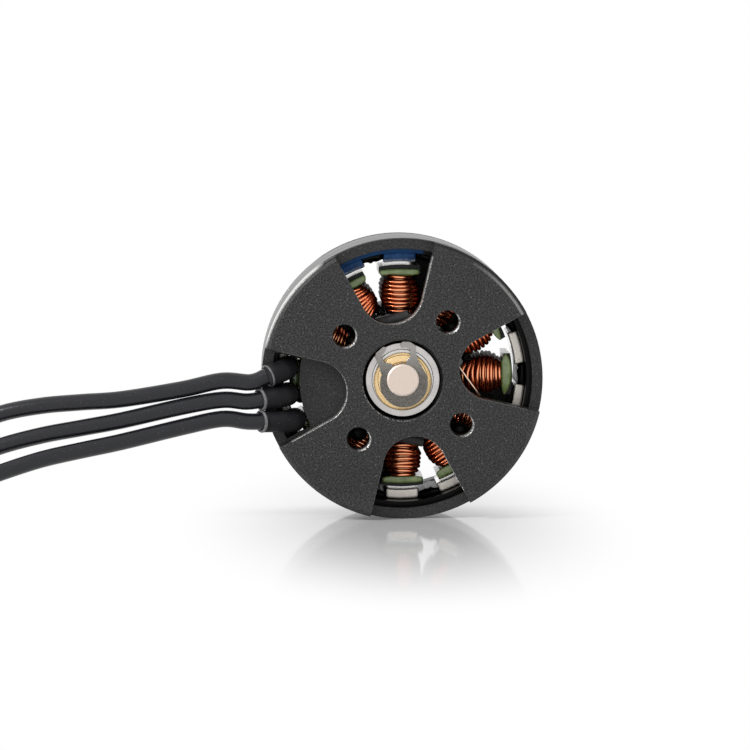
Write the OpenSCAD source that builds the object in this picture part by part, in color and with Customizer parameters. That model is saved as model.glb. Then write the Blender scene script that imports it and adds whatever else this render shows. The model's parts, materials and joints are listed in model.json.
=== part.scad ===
/* [Base] */
// Outer diameter of the base
base_d = 35.2; // [33:0.1:44]
// Thickness of the base plate
plate_t = 3.5; // [3:0.1:4]
// Depth of the window pockets below the mounting face
pocket_depth = 2.4; // [1.8:0.1:2.6]
// Height by which the rim stands behind the plate
rim_rise = 0.7; // [0.2:0.1:0.9]
// Radial width of the rim ring round the windows
rim_w = 1.3; // [1:0.1:1.8]
// Chamfer round the mounting face
face_chamfer = 0.5; // [0.2:0.1:0.8]
// Turn of the window and hole pattern from the horizontal
pattern_turn = 7.7; // [0:0.1:20]
// Half of the angle between a window's straight sides
window_half_angle = 21; // [16:0.5:24]
// Distance from the axis to a window's inner end
window_inner = 7.1; // [6.8:0.1:8]
// Outer diameter of the tube that carries the bearings and the stator
tube_d = 12.2; // [11.8:0.1:12.6]
// Width of the shoulder on which the stator sits
shoulder_w = 0.3; // [0.2:0.1:0.4]

/* [Mounting holes] */
// Side of the square on which the four M3 holes lie
hole_square = 13; // [12:0.5:14]
// Diameter of each hole's wall
hole_d = 2.85; // [2.5:0.05:3.2]
// Chamfer at each hole's mouth
hole_chamfer = 0.15; // [0.1:0.05:0.3]

/* [Bearings] */
// Outer diameter of each ball bearing
bearing_d = 10; // [9.6:0.1:10.2]
// Width of each ball bearing
bearing_w = 4; // [3.6:0.1:4.4]
// Depth of the rear bearing below the mounting face
bearing_depth = 1.2; // [1:0.1:1.6]
// Share of the way from the shaft to the bearing's outside at which the outer ring's land lies
outer_land_share = 0.6233; // [0.61:0.005:0.63]
// Share of the same way at which the inner ring's outside lies
inner_land_share = 0.3333; // [0.32:0.005:0.34]
// Diameter of a ball as a share of the same way
ball_share = 0.5267; // [0.48:0.005:0.53]
// Number of balls in each bearing
ball_count = 7; // [5:1:8]

/* [Shaft and clip] */
// Diameter of the shaft
shaft_d = 4; // [3.6:0.1:4.4]
// Depth of the shaft's rear end below the mounting face
shaft_depth = 0.2; // [0:0.1:0.4]
// Length of the shaft that stands out of the hub
shaft_stub = 4; // [2:0.5:12]
// Thickness of the retaining clip
clip_t = 0.4; // [0.3:0.05:0.45]
// Depth of the groove that holds the clip
groove_depth = 0.3; // [0.2:0.05:0.4]
// Thickness of the brass shim under the clip
shim_t = 0.25; // [0.15:0.05:0.3]

/* [Stator] */
// Radial gap between the stator and the magnets
air_gap = 0.35; // [0.3:0.01:0.5]
// Height of the lamination stack
stack_h = 8; // [6:0.5:12]
// Room between the base plate and the coils
coil_room = 1.6; // [1.2:0.1:2.4]
// Number of teeth
tooth_count = 12; // [12:3:12]
// Angle of the first tooth, counterclockwise as seen from the base
tooth_turn = 0.9; // [0:0.1:5]
// Width of a tooth's neck
neck_w = 2.4; // [2:0.1:2.6]
// Width of a tooth's shoe as a share of the room that a tooth has
shoe_share = 0.69; // [0.66:0.01:0.74]
// Radial thickness of a shoe in its middle
shoe_t = 1.1; // [0.9:0.1:1.3]
// Share of the way from the tube's shoulder to the stator's outside that the stack's hub takes
yoke_share = 0.2353; // [0.2:0.005:0.28]
// Thickness of the green coating on the stack's end faces
coat_t = 0.35; // [0.2:0.05:0.4]
// Width of bare lamination left outside the coating
bare_edge = 0.45; // [0.3:0.05:0.6]

/* [Windings] */
// Diameter of the copper wire
wire_d = 0.26; // [0.2:0.02:0.26]
// Gap between neighbouring coils at their inner ends
coil_gap = 0.4; // [0.3:0.05:0.8]
// Step from a shoe's side to the side of its coil
shoe_step = 0.25; // [0.1:0.05:0.4]
// Height of a coil's end beyond the stack
coil_end_h = 1.9; // [1.5:0.1:2]
// Turns in the outer layer of a coil
coil_turns = 5.5; // [3.5:1:5.5]
// Length of the sleeves on the joined wire ends
joint_sleeve_l = 6; // [4:0.5:7]

/* [Magnets] */
// Number of magnets
magnet_count = 14; // [14:2:14]
// Angle of the first magnet, counterclockwise as seen from the base
magnet_turn = 13.5; // [0:0.1:25]
// Radial thickness of a magnet
magnet_t = 1.3; // [1.1:0.05:1.4]
// Width of a magnet
magnet_w = 4.2; // [3.6:0.1:4.6]
// Depth of the magnets' rear ends inside the steel ring
magnet_inset = 2.5; // [1.9:0.1:3.2]

/* [Bell] */
// Outer diameter of the bell
bell_d = 35; // [34.2:0.1:35.2]
// Thickness of the steel ring
flux_ring_t = 1.8; // [1.5:0.1:2]
// Gap between the base's rim and the bell
bell_gap = 0.5; // [0.4:0.1:1]
// Length of the end plate's skirt, which meets the steel ring
cap_skirt_l = 1.6; // [0.8:0.1:2]
// Thickness of the bell's end plate
cap_t = 1.9; // [1.5:0.1:2.5]
// Radius of the bell's front corner
cap_corner = 2.6; // [1:0.1:2.8]
// Gap between the windings and the bell's end plate
cap_gap = 0.6; // [0.4:0.1:1]
// Number of spokes
spoke_count = 4; // [3:1:6]
// Angle of the first spoke, counterclockwise as seen from the base
spoke_turn = -18; // [-45:1:45]
// Width of a spoke at the hub
spoke_w_hub = 6.4; // [4:0.1:7]
// Width of a spoke at the rim
spoke_w_rim = 4.2; // [3:0.1:6]
// Radius of the corners between the spokes
window_corner = 1; // [0.5:0.1:1.5]

/* [Hub] */
// Diameter of the hub
hub_d = 16; // [15:0.5:17]
// Height of the hub's face above the end plate
hub_rise = 0.9; // [0.5:0.1:3]
// Distance from the hub's edge to the middle of each propeller bolt
prop_bolt_edge = 2; // [1.7:0.1:2.4]
// Number of propeller bolts
prop_bolt_count = 4; // [4:1:4]
// Diameter of the tapped holes for the propeller bolts
prop_bolt_d = 2.5; // [2:0.1:2.6]

/* [Leads] */
// Diameter of the silicone wire of each lead
lead_d = 2.1; // [1.6:0.1:2.3]
// Diameter of the sleeve where each lead leaves the base
sleeve_d = 2.8; // [2.4:0.1:2.9]
// Angle between neighbouring sleeves, seen along the axis
sleeve_pitch = 13.3; // [12.5:0.1:14]
// Distance from the base's outside to the middle of each sleeve in the lead slot
sleeve_inset = 3.2; // [3:0.1:3.6]
// Diameter of a connector's round plug
plug_d = 3.5; // [3:0.1:4]
// Length of a connector's round plug
plug_l = 8; // [6:0.5:10]
// Diameter of the solder cup behind a plug
cup_d = 4; // [3.6:0.1:4.4]
// Length of the solder cup behind a plug
cup_l = 4.5; // [3:0.5:6]
// Length of the sleeve over a solder cup and the end of its lead
cup_sleeve_l = 9; // [7:0.5:12]

/* [Fits] */
// Radial gap where one piece is pressed or glued into another
press_gap = 0.01; // [0.005:0.005:0.02]
// Radial gap where one piece turns inside another
running_gap = 0.06; // [0.04:0.01:0.08]
// Gap that keeps neighbouring pieces of one body apart
rest_gap = 0.05; // [0.02:0.01:0.08]

/* [Hidden] */
$fn = 96;

// One overrun serves every cut.
over = 0.5;

// Radii that several pieces share
base_r = base_d / 2;
rim_end = plate_t + rim_rise;
rim_inner_r = base_r - rim_w;
skirt_step = 0.2;
skirt_inner_r = rim_inner_r + skirt_step;
tube_r = tube_d / 2;
seat_r = bearing_d / 2 + press_gap;
shaft_r = shaft_d / 2;
bearing_room = bearing_d / 2 - shaft_r;
outer_land_r = shaft_r + bearing_room * outer_land_share;
inner_land_r = shaft_r + bearing_room * inner_land_share;
ball_d = bearing_room * ball_share;
shoulder_r = tube_r + shoulder_w;
bell_r = bell_d / 2;
flux_inner_r = bell_r - flux_ring_t;
magnet_inner_r = flux_inner_r - magnet_t;
stator_r = magnet_inner_r - air_gap;
yoke_r = shoulder_r + (stator_r - shoulder_r) * yoke_share;
tooth_slope = tan(180 / tooth_count);
shoe_w = 2 * stator_r * tooth_slope * shoe_share;
hub_r = hub_d / 2;

// Depths below the mounting face, which is at zero
coil_start = plate_t + coil_room;
stack_depth = coil_start + coil_end_h;
stack_end = stack_depth + stack_h;
coil_stop = stack_end + coil_end_h;
flux_start = rim_end + bell_gap;
tube_lip = 0.3;
front_bearing_back = 3.4;
hub_shim_t = 0.6;
front_bearing_depth = stack_end - front_bearing_back;
tube_end = front_bearing_depth + bearing_w + tube_lip;
cap_inside = coil_stop + cap_gap;
flux_stop = cap_inside - cap_skirt_l;
cap_outside = cap_inside + cap_t;
hub_face = cap_outside + hub_rise;
hub_start = front_bearing_depth + bearing_w + hub_shim_t;
shaft_end = hub_face + shaft_stub;

// A window's inner end is an arc that crosses both straight sides at a shallow angle.
window_arc_share = 1.006;
window_arc_at = window_inner / (1 - sin(window_half_angle) * window_arc_share);
window_arc_r = window_arc_at - window_inner;
window_count = 4;
lead_window = 2;

// Width of metal between the lead slot and each straight side of its pocket
slot_side_gap = 0.3;
slot_clear = 0.1;
slot_inner = base_r - sleeve_inset - sleeve_d / 2 - slot_clear;

// The tube's bore between the bearings leaves a shoulder behind each.
bearing_shoulder = 0.7;
seat_chamfer = 0.15;

// Inside a bearing
pitch_shift = 0.065;
pitch_r = (outer_land_r + inner_land_r) / 2 + pitch_shift;
groove_r = ball_d / 2 + running_gap;
ring_chamfer = 0.4;
shield_t = 0.15;
shield_inset = 0.3;
shield_dish = 0.2;
snap_ring_w = 0.22;
snap_ring_mouth = 0.8;
cage_wall = 0.28;
cage_side_gap = 0.14;
cage_prong_share = 0.45;

// The clip lies between the shaft's end and the shim.
clip_end = bearing_depth - shim_t;
clip_start = clip_end - clip_t;
clip_ring_r = 3;
clip_ring_shift = 0.44;
clip_ring_angle = -72;
shim_r = 2.85;

// Outlines of the clip's two horns and of its mouth, seen from the base, as shares of the
// ring's radius. The mouth is cut last and gives both horns their inner edges.
long_horn_shares = [
    [0.2, 0], [-0.083, 1.267], [-0.083, 1.55], [0, 1.613], [0.297, 1.603], [0.467, 1.487],
    [0.53, 1.443], [0.553, 1.147], [0.617, 0.827], [0.8, 0.57], [0.78, 0.3]
];
short_horn_shares = [
    [-0.1, 0], [-0.6, 1.133], [-0.6, 1.367], [-0.827, 1.4], [-1.127, 1.127],
    [-1.147, 0.957], [-0.977, 0.553], [-0.913, 0.253]
];
mouth_shares = [
    [0, 0], [0.17, 0.827], [0.32, 0.997], [0.297, 1.273], [0.17, 1.36], [-0.167, 1.36],
    [-0.167, 1.533], [-0.667, 1.533], [-0.69, 1.38], [-0.723, 1.21], [-0.893, 0.997],
    [-0.87, 0.893], [-0.743, 0.723], [-0.487, 0.68]
];
shaft_chamfer = 0.2;
groove_side_gap = 0.04;

// Wire of the outer layer, laid in a rising path round each tooth
wire_sides = 6;
wire_corner = 0.9;
wire_rest = 0.02;
coil_rise_gap = 0.02;
neck_liner = 0.12;

// Magnets with marked ends, counted from the first
marked_magnets = [3, 4];
filler_gap = 0.1;
filler_step = 0.1;

// Details of the bell
flux_chamfer = 0.3;
cap_lip_l = 0.45;
cap_lip_t = 0.6;
magnet_depth = flux_start + magnet_inset;
magnet_l = flux_stop - cap_lip_l - rest_gap - magnet_depth;
cap_ring_w = 2.6;
hub_neck_r = 5.4;
hub_chamfer = 0.4;
hub_web_gap = 0.6;

// How the leads run through the slot and over the rim
sleeve_path_r = base_r - sleeve_inset;
sleeve_bend = 1.9;
sleeve_rear = 0.9;
sleeve_sides = 12;
sleeve_clear = 0.04;
sleeve_bend_steps = 5;
sleeve_headings = [199.5, 188, 180];
sleeve_reach_shares = [2.07, 2.29, 2.79];

// Routes of the three leads. Distances along x count from the base's outside. Heights are
// shares of the height at which the leads end.
lead_sides = 8;
cup_sleeve_t = 0.25;
lead_end_gap = 0.5;
cup_sleeve_back_share = 0.55;
lead_end_height = (cup_d - base_d) / 2 + cup_sleeve_t;
lead_straight = cup_sleeve_l * cup_sleeve_back_share + rest_gap;
lead_end_pitch = cup_d + 2 * cup_sleeve_t + lead_end_gap;
lead_end_y = 1;
lead_ends = [
    [-62.5, lead_end_y + lead_end_pitch], [-60.5, lead_end_y],
    [-58.5, lead_end_y - lead_end_pitch]
];
lead_middles = [
    [[-5, 1.2], [-10, 1.3], [-17.5, 1.5], [-22.5, 1.8], [-27.5, 2.2], [-32.5, 2.7],
        [-37.5, 3.4], [-42.5, 4.3], [-47.5, 5.1], [-51.5, 5.7], [-55.5, 6]],
    [[-5, 1.1], [-10, 1], [-17.5, 1], [-22.5, 1], [-27.5, 1], [-32.5, 1],
        [-37.5, 1], [-42.5, 1], [-47.5, 1], [-52.5, 1]],
    [[-5, 1], [-10, 0.8], [-17.5, 0.3], [-22.5, -0.2], [-27.5, -0.8], [-32.5, -1.5],
        [-37.5, -2.2], [-42.5, -3], [-48.5, -3.8]]
];
lead_drop_shares = [
    [0.005, 0.075, 0.155, 0.18, 0.21, 0.275, 0.405, 0.6, 0.795, 0.93, 0.995],
    [0.16, 0.215, 0.325, 0.385, 0.445, 0.53, 0.65, 0.8, 0.94, 0.995],
    [0.315, 0.38, 0.495, 0.56, 0.63, 0.73, 0.845, 0.95, 0.995]
];

// Connectors
plug_bulge = 0.2;
plug_nose = 0.6;
plug_slot_w = 0.4;
plug_slots = 4;
plug_slot_share = 0.7;

// Shapes that several pieces share

// The motor's axis runs along y. Depth grows away from the mounting face.
module in_place() {
    rotate([-90, 0, 0]) children();
}

// Angles count counterclockwise as seen from the base.
module turned(angle) {
    rotate([0, 0, -angle]) children();
}

module ring(inner_r, outer_r, start, stop) {
    translate([0, 0, start]) difference() {
        cylinder(r = outer_r, h = stop - start);
        translate([0, 0, -over]) cylinder(r = inner_r, h = stop - start + 2 * over);
    }
}

module chamfered_ring(inner_r, outer_r, start, stop, chamfer) {
    rotate_extrude() polygon([
        [inner_r, start], [outer_r - chamfer, start], [outer_r, start + chamfer],
        [outer_r, stop - chamfer], [outer_r - chamfer, stop], [inner_r, stop]
    ]);
}

function unit(v) = v / norm(v);

// The plane of a path's ring halves the angle between the stretches that meet there.
function ring_plane(points, i) =
    i == 0 ? unit(points[1] - points[0])
    : i == len(points) - 1 ? unit(points[i] - points[i - 1])
    : unit(unit(points[i] - points[i - 1]) + unit(points[i + 1] - points[i]));

// A ring slides along its stretch until it lies in the next plane.
function slid_ring(ring, points, i) =
    let (along = unit(points[i] - points[i - 1]), plane = ring_plane(points, i))
    [for (q = ring) q + along * (((points[i] - q) * plane) / (along * plane))];

function first_ring(points, r, sides, side) =
    let (along = ring_plane(points, 0), u = unit(cross(along, side)), v = cross(along, u))
    [for (k = [0 : sides - 1])
        points[0] + r * (u * cos(360 * k / sides) + v * sin(360 * k / sides))];

function all_rings(points, r, sides, side) = [
    for (i = 0, ring = first_ring(points, r, sides, side); i < len(points);
        i = i + 1, ring = i < len(points) ? slid_ring(ring, points, i) : ring) ring
];

module tube_along(points, r, sides, side) {
    rings = all_rings(points, r, sides, side);
    last = len(points) - 1;
    corners = [for (ring = rings) for (q = ring) q];
    walls = [for (i = [0 : last - 1]) for (k = [0 : sides - 1])
        let (a = i * sides + k, b = i * sides + (k + 1) % sides)
        each [[a, a + sides, b], [b, a + sides, b + sides]]];
    rear = [for (k = [1 : sides - 2]) [0, k, k + 1]];
    front = [for (k = [1 : sides - 2])
        [last * sides, last * sides + k + 1, last * sides + k]];
    polyhedron(points = corners, faces = concat(walls, rear, front));
}

// Base

module window_outline(outer_r) {
    side_start = window_arc_at * cos(window_half_angle);
    side_stop = outer_r / cos(window_half_angle);
    c = cos(window_half_angle);
    s = sin(window_half_angle);
    union() {
        translate([window_arc_at, 0]) circle(r = window_arc_r);
        polygon([
            [side_start * c, side_start * s], [side_stop * c, side_stop * s],
            [side_stop * c, -side_stop * s], [side_start * c, -side_start * s]
        ]);
    }
}

// The slot for the leads keeps clear of the window's straight sides.
module lead_slot_outline() {
    far = base_r + over;
    edge = window_half_angle - asin(slot_side_gap / slot_inner);
    intersection() {
        difference() {
            circle(r = rim_inner_r);
            circle(r = slot_inner);
        }
        polygon([[0, 0], [far, far * tan(edge)], [far, -far * tan(edge)]]);
    }
}

module base_holes() {
    square_angle = 45;
    for (k = [0 : 3]) turned(pattern_turn + square_angle + 90 * k)
        translate([hole_square / 2 * sqrt(2), 0, 0]) {
            translate([0, 0, -over]) cylinder(d = hole_d, h = plate_t + 2 * over);
            translate([0, 0, -over])
                cylinder(r1 = hole_d / 2 + hole_chamfer + over, r2 = hole_d / 2,
                    h = hole_chamfer + over);
        }
}

module base_windows() {
    for (k = [0 : window_count - 1]) turned(pattern_turn + 90 * k) {
        translate([0, 0, -over])
            linear_extrude(pocket_depth + over) window_outline(base_r + over);
        if (k == lead_window) {
            linear_extrude(rim_end + over) lead_slot_outline();
        } else {
            linear_extrude(plate_t + over) intersection() {
                window_outline(base_r + over);
                circle(r = rim_inner_r);
            }
        }
    }
}

module base_body() {
    bore_r = seat_r - bearing_shoulder;
    rear_stop = bearing_depth + bearing_w;
    rotate_extrude() polygon([
        [seat_r + seat_chamfer, 0],
        [base_r - face_chamfer, 0],
        [base_r, face_chamfer],
        [base_r, rim_end],
        [skirt_inner_r, rim_end],
        [skirt_inner_r, plate_t],
        [shoulder_r, plate_t],
        [shoulder_r, stack_depth],
        [tube_r, stack_depth],
        [tube_r, tube_end],
        [seat_r, tube_end],
        [seat_r, front_bearing_depth],
        [bore_r, front_bearing_depth],
        [bore_r, rear_stop],
        [seat_r, rear_stop],
        [seat_r, seat_chamfer]
    ]);
}

module base_mount() {
    color([0.24, 0.245, 0.25]) in_place() difference() {
        base_body();
        base_windows();
        base_holes();
    }
}

// Stator

module tooth_outline(outer_r, shoe_half_w, neck_half_w) {
    shoe_start = stator_r - shoe_t;
    intersection() {
        polygon([
            [0, -neck_half_w], [shoe_start, -neck_half_w], [shoe_start, -shoe_half_w],
            [stator_r, -shoe_half_w], [stator_r, shoe_half_w],
            [shoe_start, shoe_half_w], [shoe_start, neck_half_w], [0, neck_half_w]
        ]);
        circle(r = outer_r);
    }
}

module at_teeth(which) {
    for (k = which) turned(tooth_turn + 360 / tooth_count * k) children();
}

module stator_outline(outer_r, inner_r, hub_outer_r) {
    difference() {
        union() {
            circle(r = hub_outer_r);
            at_teeth([0 : tooth_count - 1]) tooth_outline(outer_r, shoe_w / 2, neck_w / 2);
        }
        circle(r = inner_r);
    }
}

module stator_core() {
    color([0.2, 0.2, 0.21]) in_place() translate([0, 0, stack_depth])
        linear_extrude(stack_h) stator_outline(stator_r, tube_r + press_gap, yoke_r);
}

module stator_coating(start) {
    color([0.33, 0.47, 0.27]) in_place() translate([0, 0, start]) linear_extrude(coat_t)
        stator_outline(stator_r - bare_edge, shoulder_r + rest_gap, yoke_r);
}

module stator_coating_rear() {
    stator_coating(stack_depth - coat_t);
}

module stator_coating_front() {
    stator_coating(stack_end);
}

// Windings

// The winding runs over neighbouring teeth in the order A A B B C C.
phase_teeth = [[0, 1, 6, 7], [2, 3, 8, 9], [4, 5, 10, 11]];

coil_inner_x = yoke_r + wire_rest;
coil_outer_x = stator_r - shoe_t - wire_rest;
coil_w_inner = 2 * coil_inner_x * tooth_slope - coil_gap;
coil_w_outer = shoe_w - 2 * shoe_step;
turns_first_x = coil_inner_x + 1.5 * wire_d;
turns_last_x = coil_outer_x - 1.5 * wire_d;
turn_pitch = (turns_last_x - turns_first_x) / coil_turns;
coil_mid_z = stack_depth + stack_h / 2;
coil_half_h = stack_h / 2 + coil_end_h - wire_d / 2;

function coil_half_w(x) =
    (coil_w_inner + (coil_w_outer - coil_w_inner) * (x - coil_inner_x)
        / (coil_outer_x - coil_inner_x)) / 2;

// A loop passes eight corners. The first is on the side where the wire starts.
corner_side_shares = [-1, -1, 1, 1, 1, 1, -1, -1];
corner_end_shares = [1, 1, 1, 1, -1, -1, -1, -1];
corner_cut_shares = [[0, 1], [1, 0], [1, 0], [0, 1], [0, 1], [1, 0], [1, 0], [0, 1]];

function turn_point(step) =
    let (
        k = step % 8,
        x = turns_first_x + turn_pitch * (step + 0.5) / 8,
        half_w = coil_half_w(x) - wire_d / 2
    )
    [
        x,
        corner_side_shares[k] * (half_w - wire_corner * corner_cut_shares[k][0]),
        coil_mid_z + corner_end_shares[k] * (coil_half_h - wire_corner * corner_cut_shares[k][1])
    ];

turn_steps = round(coil_turns * 8);
start_half_w = coil_half_w(turns_first_x) - wire_d / 2;
stop_half_w = coil_half_w(turns_last_x) - wire_d / 2;

turn_path = concat(
    [
        [coil_inner_x, -start_half_w, coil_mid_z],
        [turns_first_x, -start_half_w, coil_mid_z]
    ],
    [for (step = [0 : turn_steps - 1]) turn_point(step)],
    [
        [turns_last_x, stop_half_w, coil_mid_z],
        [coil_outer_x, stop_half_w, coil_mid_z]
    ]
);

// The least gap is measured between points that lie at least three corners apart.
samples_per_stretch = 4;
turn_samples = [for (i = [0 : len(turn_path) - 2]) for (k = [0 : samples_per_stretch - 1])
    turn_path[i] + (turn_path[i + 1] - turn_path[i]) * k / samples_per_stretch];
sample_reach = 3 * samples_per_stretch;
least_turn_gap = min([
    for (i = [0 : len(turn_samples) - 1 - sample_reach])
        for (j = [i + sample_reach : len(turn_samples) - 1])
            norm(turn_samples[i] - turn_samples[j])
]) - wire_d;
echo(least_gap_between_turns = least_turn_gap);

function cut_rectangle(half_w, half_h, cut) = [
    [-half_w, cut - half_h], [cut - half_w, -half_h], [half_w - cut, -half_h],
    [half_w, cut - half_h], [half_w, half_h - cut], [half_w - cut, half_h],
    [cut - half_w, half_h], [-half_w, half_h - cut]
];

// A coil's inner layers are one block round the tooth's neck.
module coil_block() {
    layer = wire_d + coil_rise_gap;
    start_w = coil_half_w(coil_inner_x) - layer;
    stop_w = coil_half_w(coil_outer_x) - layer;
    corner_cut = wire_corner + stop_w - start_w;
    block_half_h = stack_h / 2 + coil_end_h - layer;
    neck_half_w = neck_w / 2 + neck_liner;
    neck_half_h = stack_h / 2 + coat_t + rest_gap;
    difference() {
        intersection() {
            translate([0, 0, coil_mid_z - block_half_h]) linear_extrude(2 * block_half_h)
                polygon([
                    [coil_inner_x, -start_w], [coil_outer_x, -stop_w],
                    [coil_outer_x, stop_w], [coil_inner_x, start_w]
                ]);
            translate([0, 0, coil_mid_z]) rotate([90, 0, 90]) linear_extrude(stator_r)
                polygon(cut_rectangle(stop_w, block_half_h, corner_cut));
        }
        translate([0, -neck_half_w, coil_mid_z - neck_half_h])
            cube([stator_r, 2 * neck_half_w, 2 * neck_half_h]);
    }
}

module winding_core(phase) {
    color([0.62, 0.31, 0.18]) in_place() at_teeth(phase_teeth[phase]) coil_block();
}

module winding_turns(phase) {
    color([0.8, 0.45, 0.28]) in_place() at_teeth(phase_teeth[phase])
        tube_along(turn_path, wire_d / 2, wire_sides, [0, 1, 0]);
}

// These sleeves fill the room between the base plate and the coils.
module joint_sleeve(angle, shift) {
    color([0.15, 0.15, 0.16]) in_place() turned(angle)
        translate([joint_sleeve_at, joint_sleeve_l / 2 - shift, plate_t + coil_room / 2])
            rotate([90, 0, 0]) cylinder(d = joint_sleeve_d, h = joint_sleeve_l, $fn = 32);
}

upper_sleeve_angle = 106;
lower_sleeve_angle = 257.6;
lower_sleeve_shift = 1.4;
joint_sleeve_d = coil_room - 2 * rest_gap;
joint_sleeve_at = shoulder_r + joint_sleeve_d / 2 + 2 * rest_gap;

// Bearings

module raceway(start) {
    translate([0, 0, start + bearing_w / 2]) rotate_extrude()
        translate([pitch_r, 0]) circle(r = groove_r, $fn = 48);
}

module bearing_outer_ring(start) {
    color([0.8, 0.8, 0.79]) in_place() difference() {
        chamfered_ring(outer_land_r, bearing_d / 2, start, start + bearing_w, ring_chamfer);
        raceway(start);
    }
}

module bearing_inner_ring(start) {
    color([0.75, 0.75, 0.74]) in_place() difference() {
        ring(shaft_r + press_gap, inner_land_r, start, start + bearing_w);
        raceway(start);
    }
}

module at_balls(start) {
    for (k = [0 : ball_count - 1]) turned(360 / ball_count * k)
        translate([pitch_r, 0, start + bearing_w / 2]) children();
}

module bearing_balls(start) {
    color([0.86, 0.86, 0.87]) in_place() at_balls(start) sphere(d = ball_d);
}

// A crown cage: a ring on one side of the balls with prongs between them.
module bearing_cage(start) {
    middle = start + bearing_w / 2;
    color([0.75, 0.68, 0.5]) in_place() difference() {
        ring(inner_land_r + cage_side_gap, outer_land_r - cage_side_gap,
            middle - ball_d / 2 - cage_wall, middle + ball_d * cage_prong_share);
        at_balls(start) sphere(r = ball_d / 2 + rest_gap);
    }
}

// Each shield is dished between its rim in the outer ring and its free inner edge.
module shield(face, inward) {
    outer = outer_land_r - press_gap;
    inner = inner_land_r + running_gap + press_gap;
    bend = outer - snap_ring_w;
    dish_start = bend - shield_dish;
    rise = inward * shield_inset;
    dish = inward * (shield_inset + shield_dish);
    skin = inward * shield_t;
    rotate_extrude() polygon([
        [inner, face + dish], [dish_start, face + dish], [bend, face + rise],
        [outer, face + rise], [outer, face + rise + skin], [bend, face + rise + skin],
        [dish_start, face + dish + skin], [inner, face + dish + skin]
    ]);
}

module bearing_shields(start) {
    color([0.85, 0.69, 0.42]) in_place() {
        shield(start, 1);
        shield(start + bearing_w, -1);
    }
}

// A split ring lies on the rim of each shield.
module snap_ring(face, inward) {
    outer = outer_land_r - press_gap;
    depth = shield_inset - 2 * rest_gap;
    low = min(face + inward * rest_gap, face + inward * (rest_gap + depth));
    difference() {
        ring(outer - snap_ring_w, outer, low, low + depth);
        translate([-snap_ring_mouth / 2, -outer - over, low - over])
            cube([snap_ring_mouth, outer, depth + 2 * over]);
    }
}

module bearing_snap_rings(start) {
    color([0.82, 0.82, 0.82]) in_place() {
        snap_ring(start, 1);
        snap_ring(start + bearing_w, -1);
    }
}

// Shaft, clip and shims

module shaft() {
    groove_r = shaft_r - groove_depth;
    color([0.85, 0.8, 0.76]) in_place() rotate_extrude() polygon([
        [0, shaft_depth], [shaft_r - shaft_chamfer, shaft_depth],
        [shaft_r, shaft_depth + shaft_chamfer / 2],
        [shaft_r, clip_start - groove_side_gap], [groove_r, clip_start - groove_side_gap],
        [groove_r, clip_end], [shaft_r, clip_end],
        [shaft_r, shaft_end - shaft_chamfer],
        [shaft_r - shaft_chamfer, shaft_end], [0, shaft_end]
    ]);
}

// The clip's ring is open between the roots of its horns.
module clip_body() {
    difference() {
        union() {
            rotate([0, 0, clip_ring_angle]) translate([clip_ring_shift, 0, 0])
                cylinder(r = clip_ring_r, h = clip_t);
            linear_extrude(clip_t) polygon(short_horn_shares * clip_ring_r);
            linear_extrude(clip_t) polygon(long_horn_shares * clip_ring_r);
        }
        translate([0, 0, -over])
            cylinder(r = shaft_r - groove_depth + press_gap, h = clip_t + 2 * over);
        translate([0, 0, -over])
            linear_extrude(clip_t + 2 * over) polygon(mouth_shares * clip_ring_r);
    }
}

module retaining_clip() {
    color([0.49, 0.47, 0.45]) in_place() translate([0, 0, clip_start])
        mirror([0, 1, 0]) clip_body();
}

module clip_shim() {
    color([0.83, 0.66, 0.38]) in_place() ring(shaft_r + press_gap, shim_r, clip_end, bearing_depth);
}

module hub_shim() {
    color([0.83, 0.66, 0.38]) in_place()
        ring(shaft_r + press_gap, shim_r, hub_start - hub_shim_t, hub_start);
}

// Magnets and steel ring

module magnet_outline(half_w, inner_r, outer_r) {
    intersection() {
        difference() {
            circle(r = outer_r);
            circle(r = inner_r);
        }
        translate([0, -half_w]) square([bell_r, 2 * half_w]);
    }
}

module at_magnets(which) {
    for (k = which) turned(magnet_turn + 360 / magnet_count * k) children();
}

module magnets(which) {
    in_place() translate([0, 0, magnet_depth]) linear_extrude(magnet_l) at_magnets(which)
        magnet_outline(magnet_w / 2, magnet_inner_r, flux_inner_r - press_gap);
}

module magnets_plain() {
    color([0.79, 0.76, 0.71])
        magnets([for (k = [0 : magnet_count - 1]) if (len(search(k, marked_magnets)) == 0) k]);
}

module magnets_marked() {
    color([0.1, 0.24, 0.47]) magnets(marked_magnets);
}

module magnet_filler() {
    color([0.05, 0.05, 0.05]) in_place() translate([0, 0, magnet_depth])
        linear_extrude(magnet_l) difference() {
            circle(r = flux_inner_r - press_gap);
            circle(r = magnet_inner_r + filler_step);
            at_magnets([0 : magnet_count - 1])
                translate([0, -magnet_w / 2 - filler_gap]) square([bell_r, magnet_w + 2 * filler_gap]);
        }
}

module flux_ring() {
    color([0.42, 0.42, 0.43]) in_place()
        chamfered_ring(flux_inner_r, bell_r, flux_start, flux_stop, flux_chamfer);
}

// Bell

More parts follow.
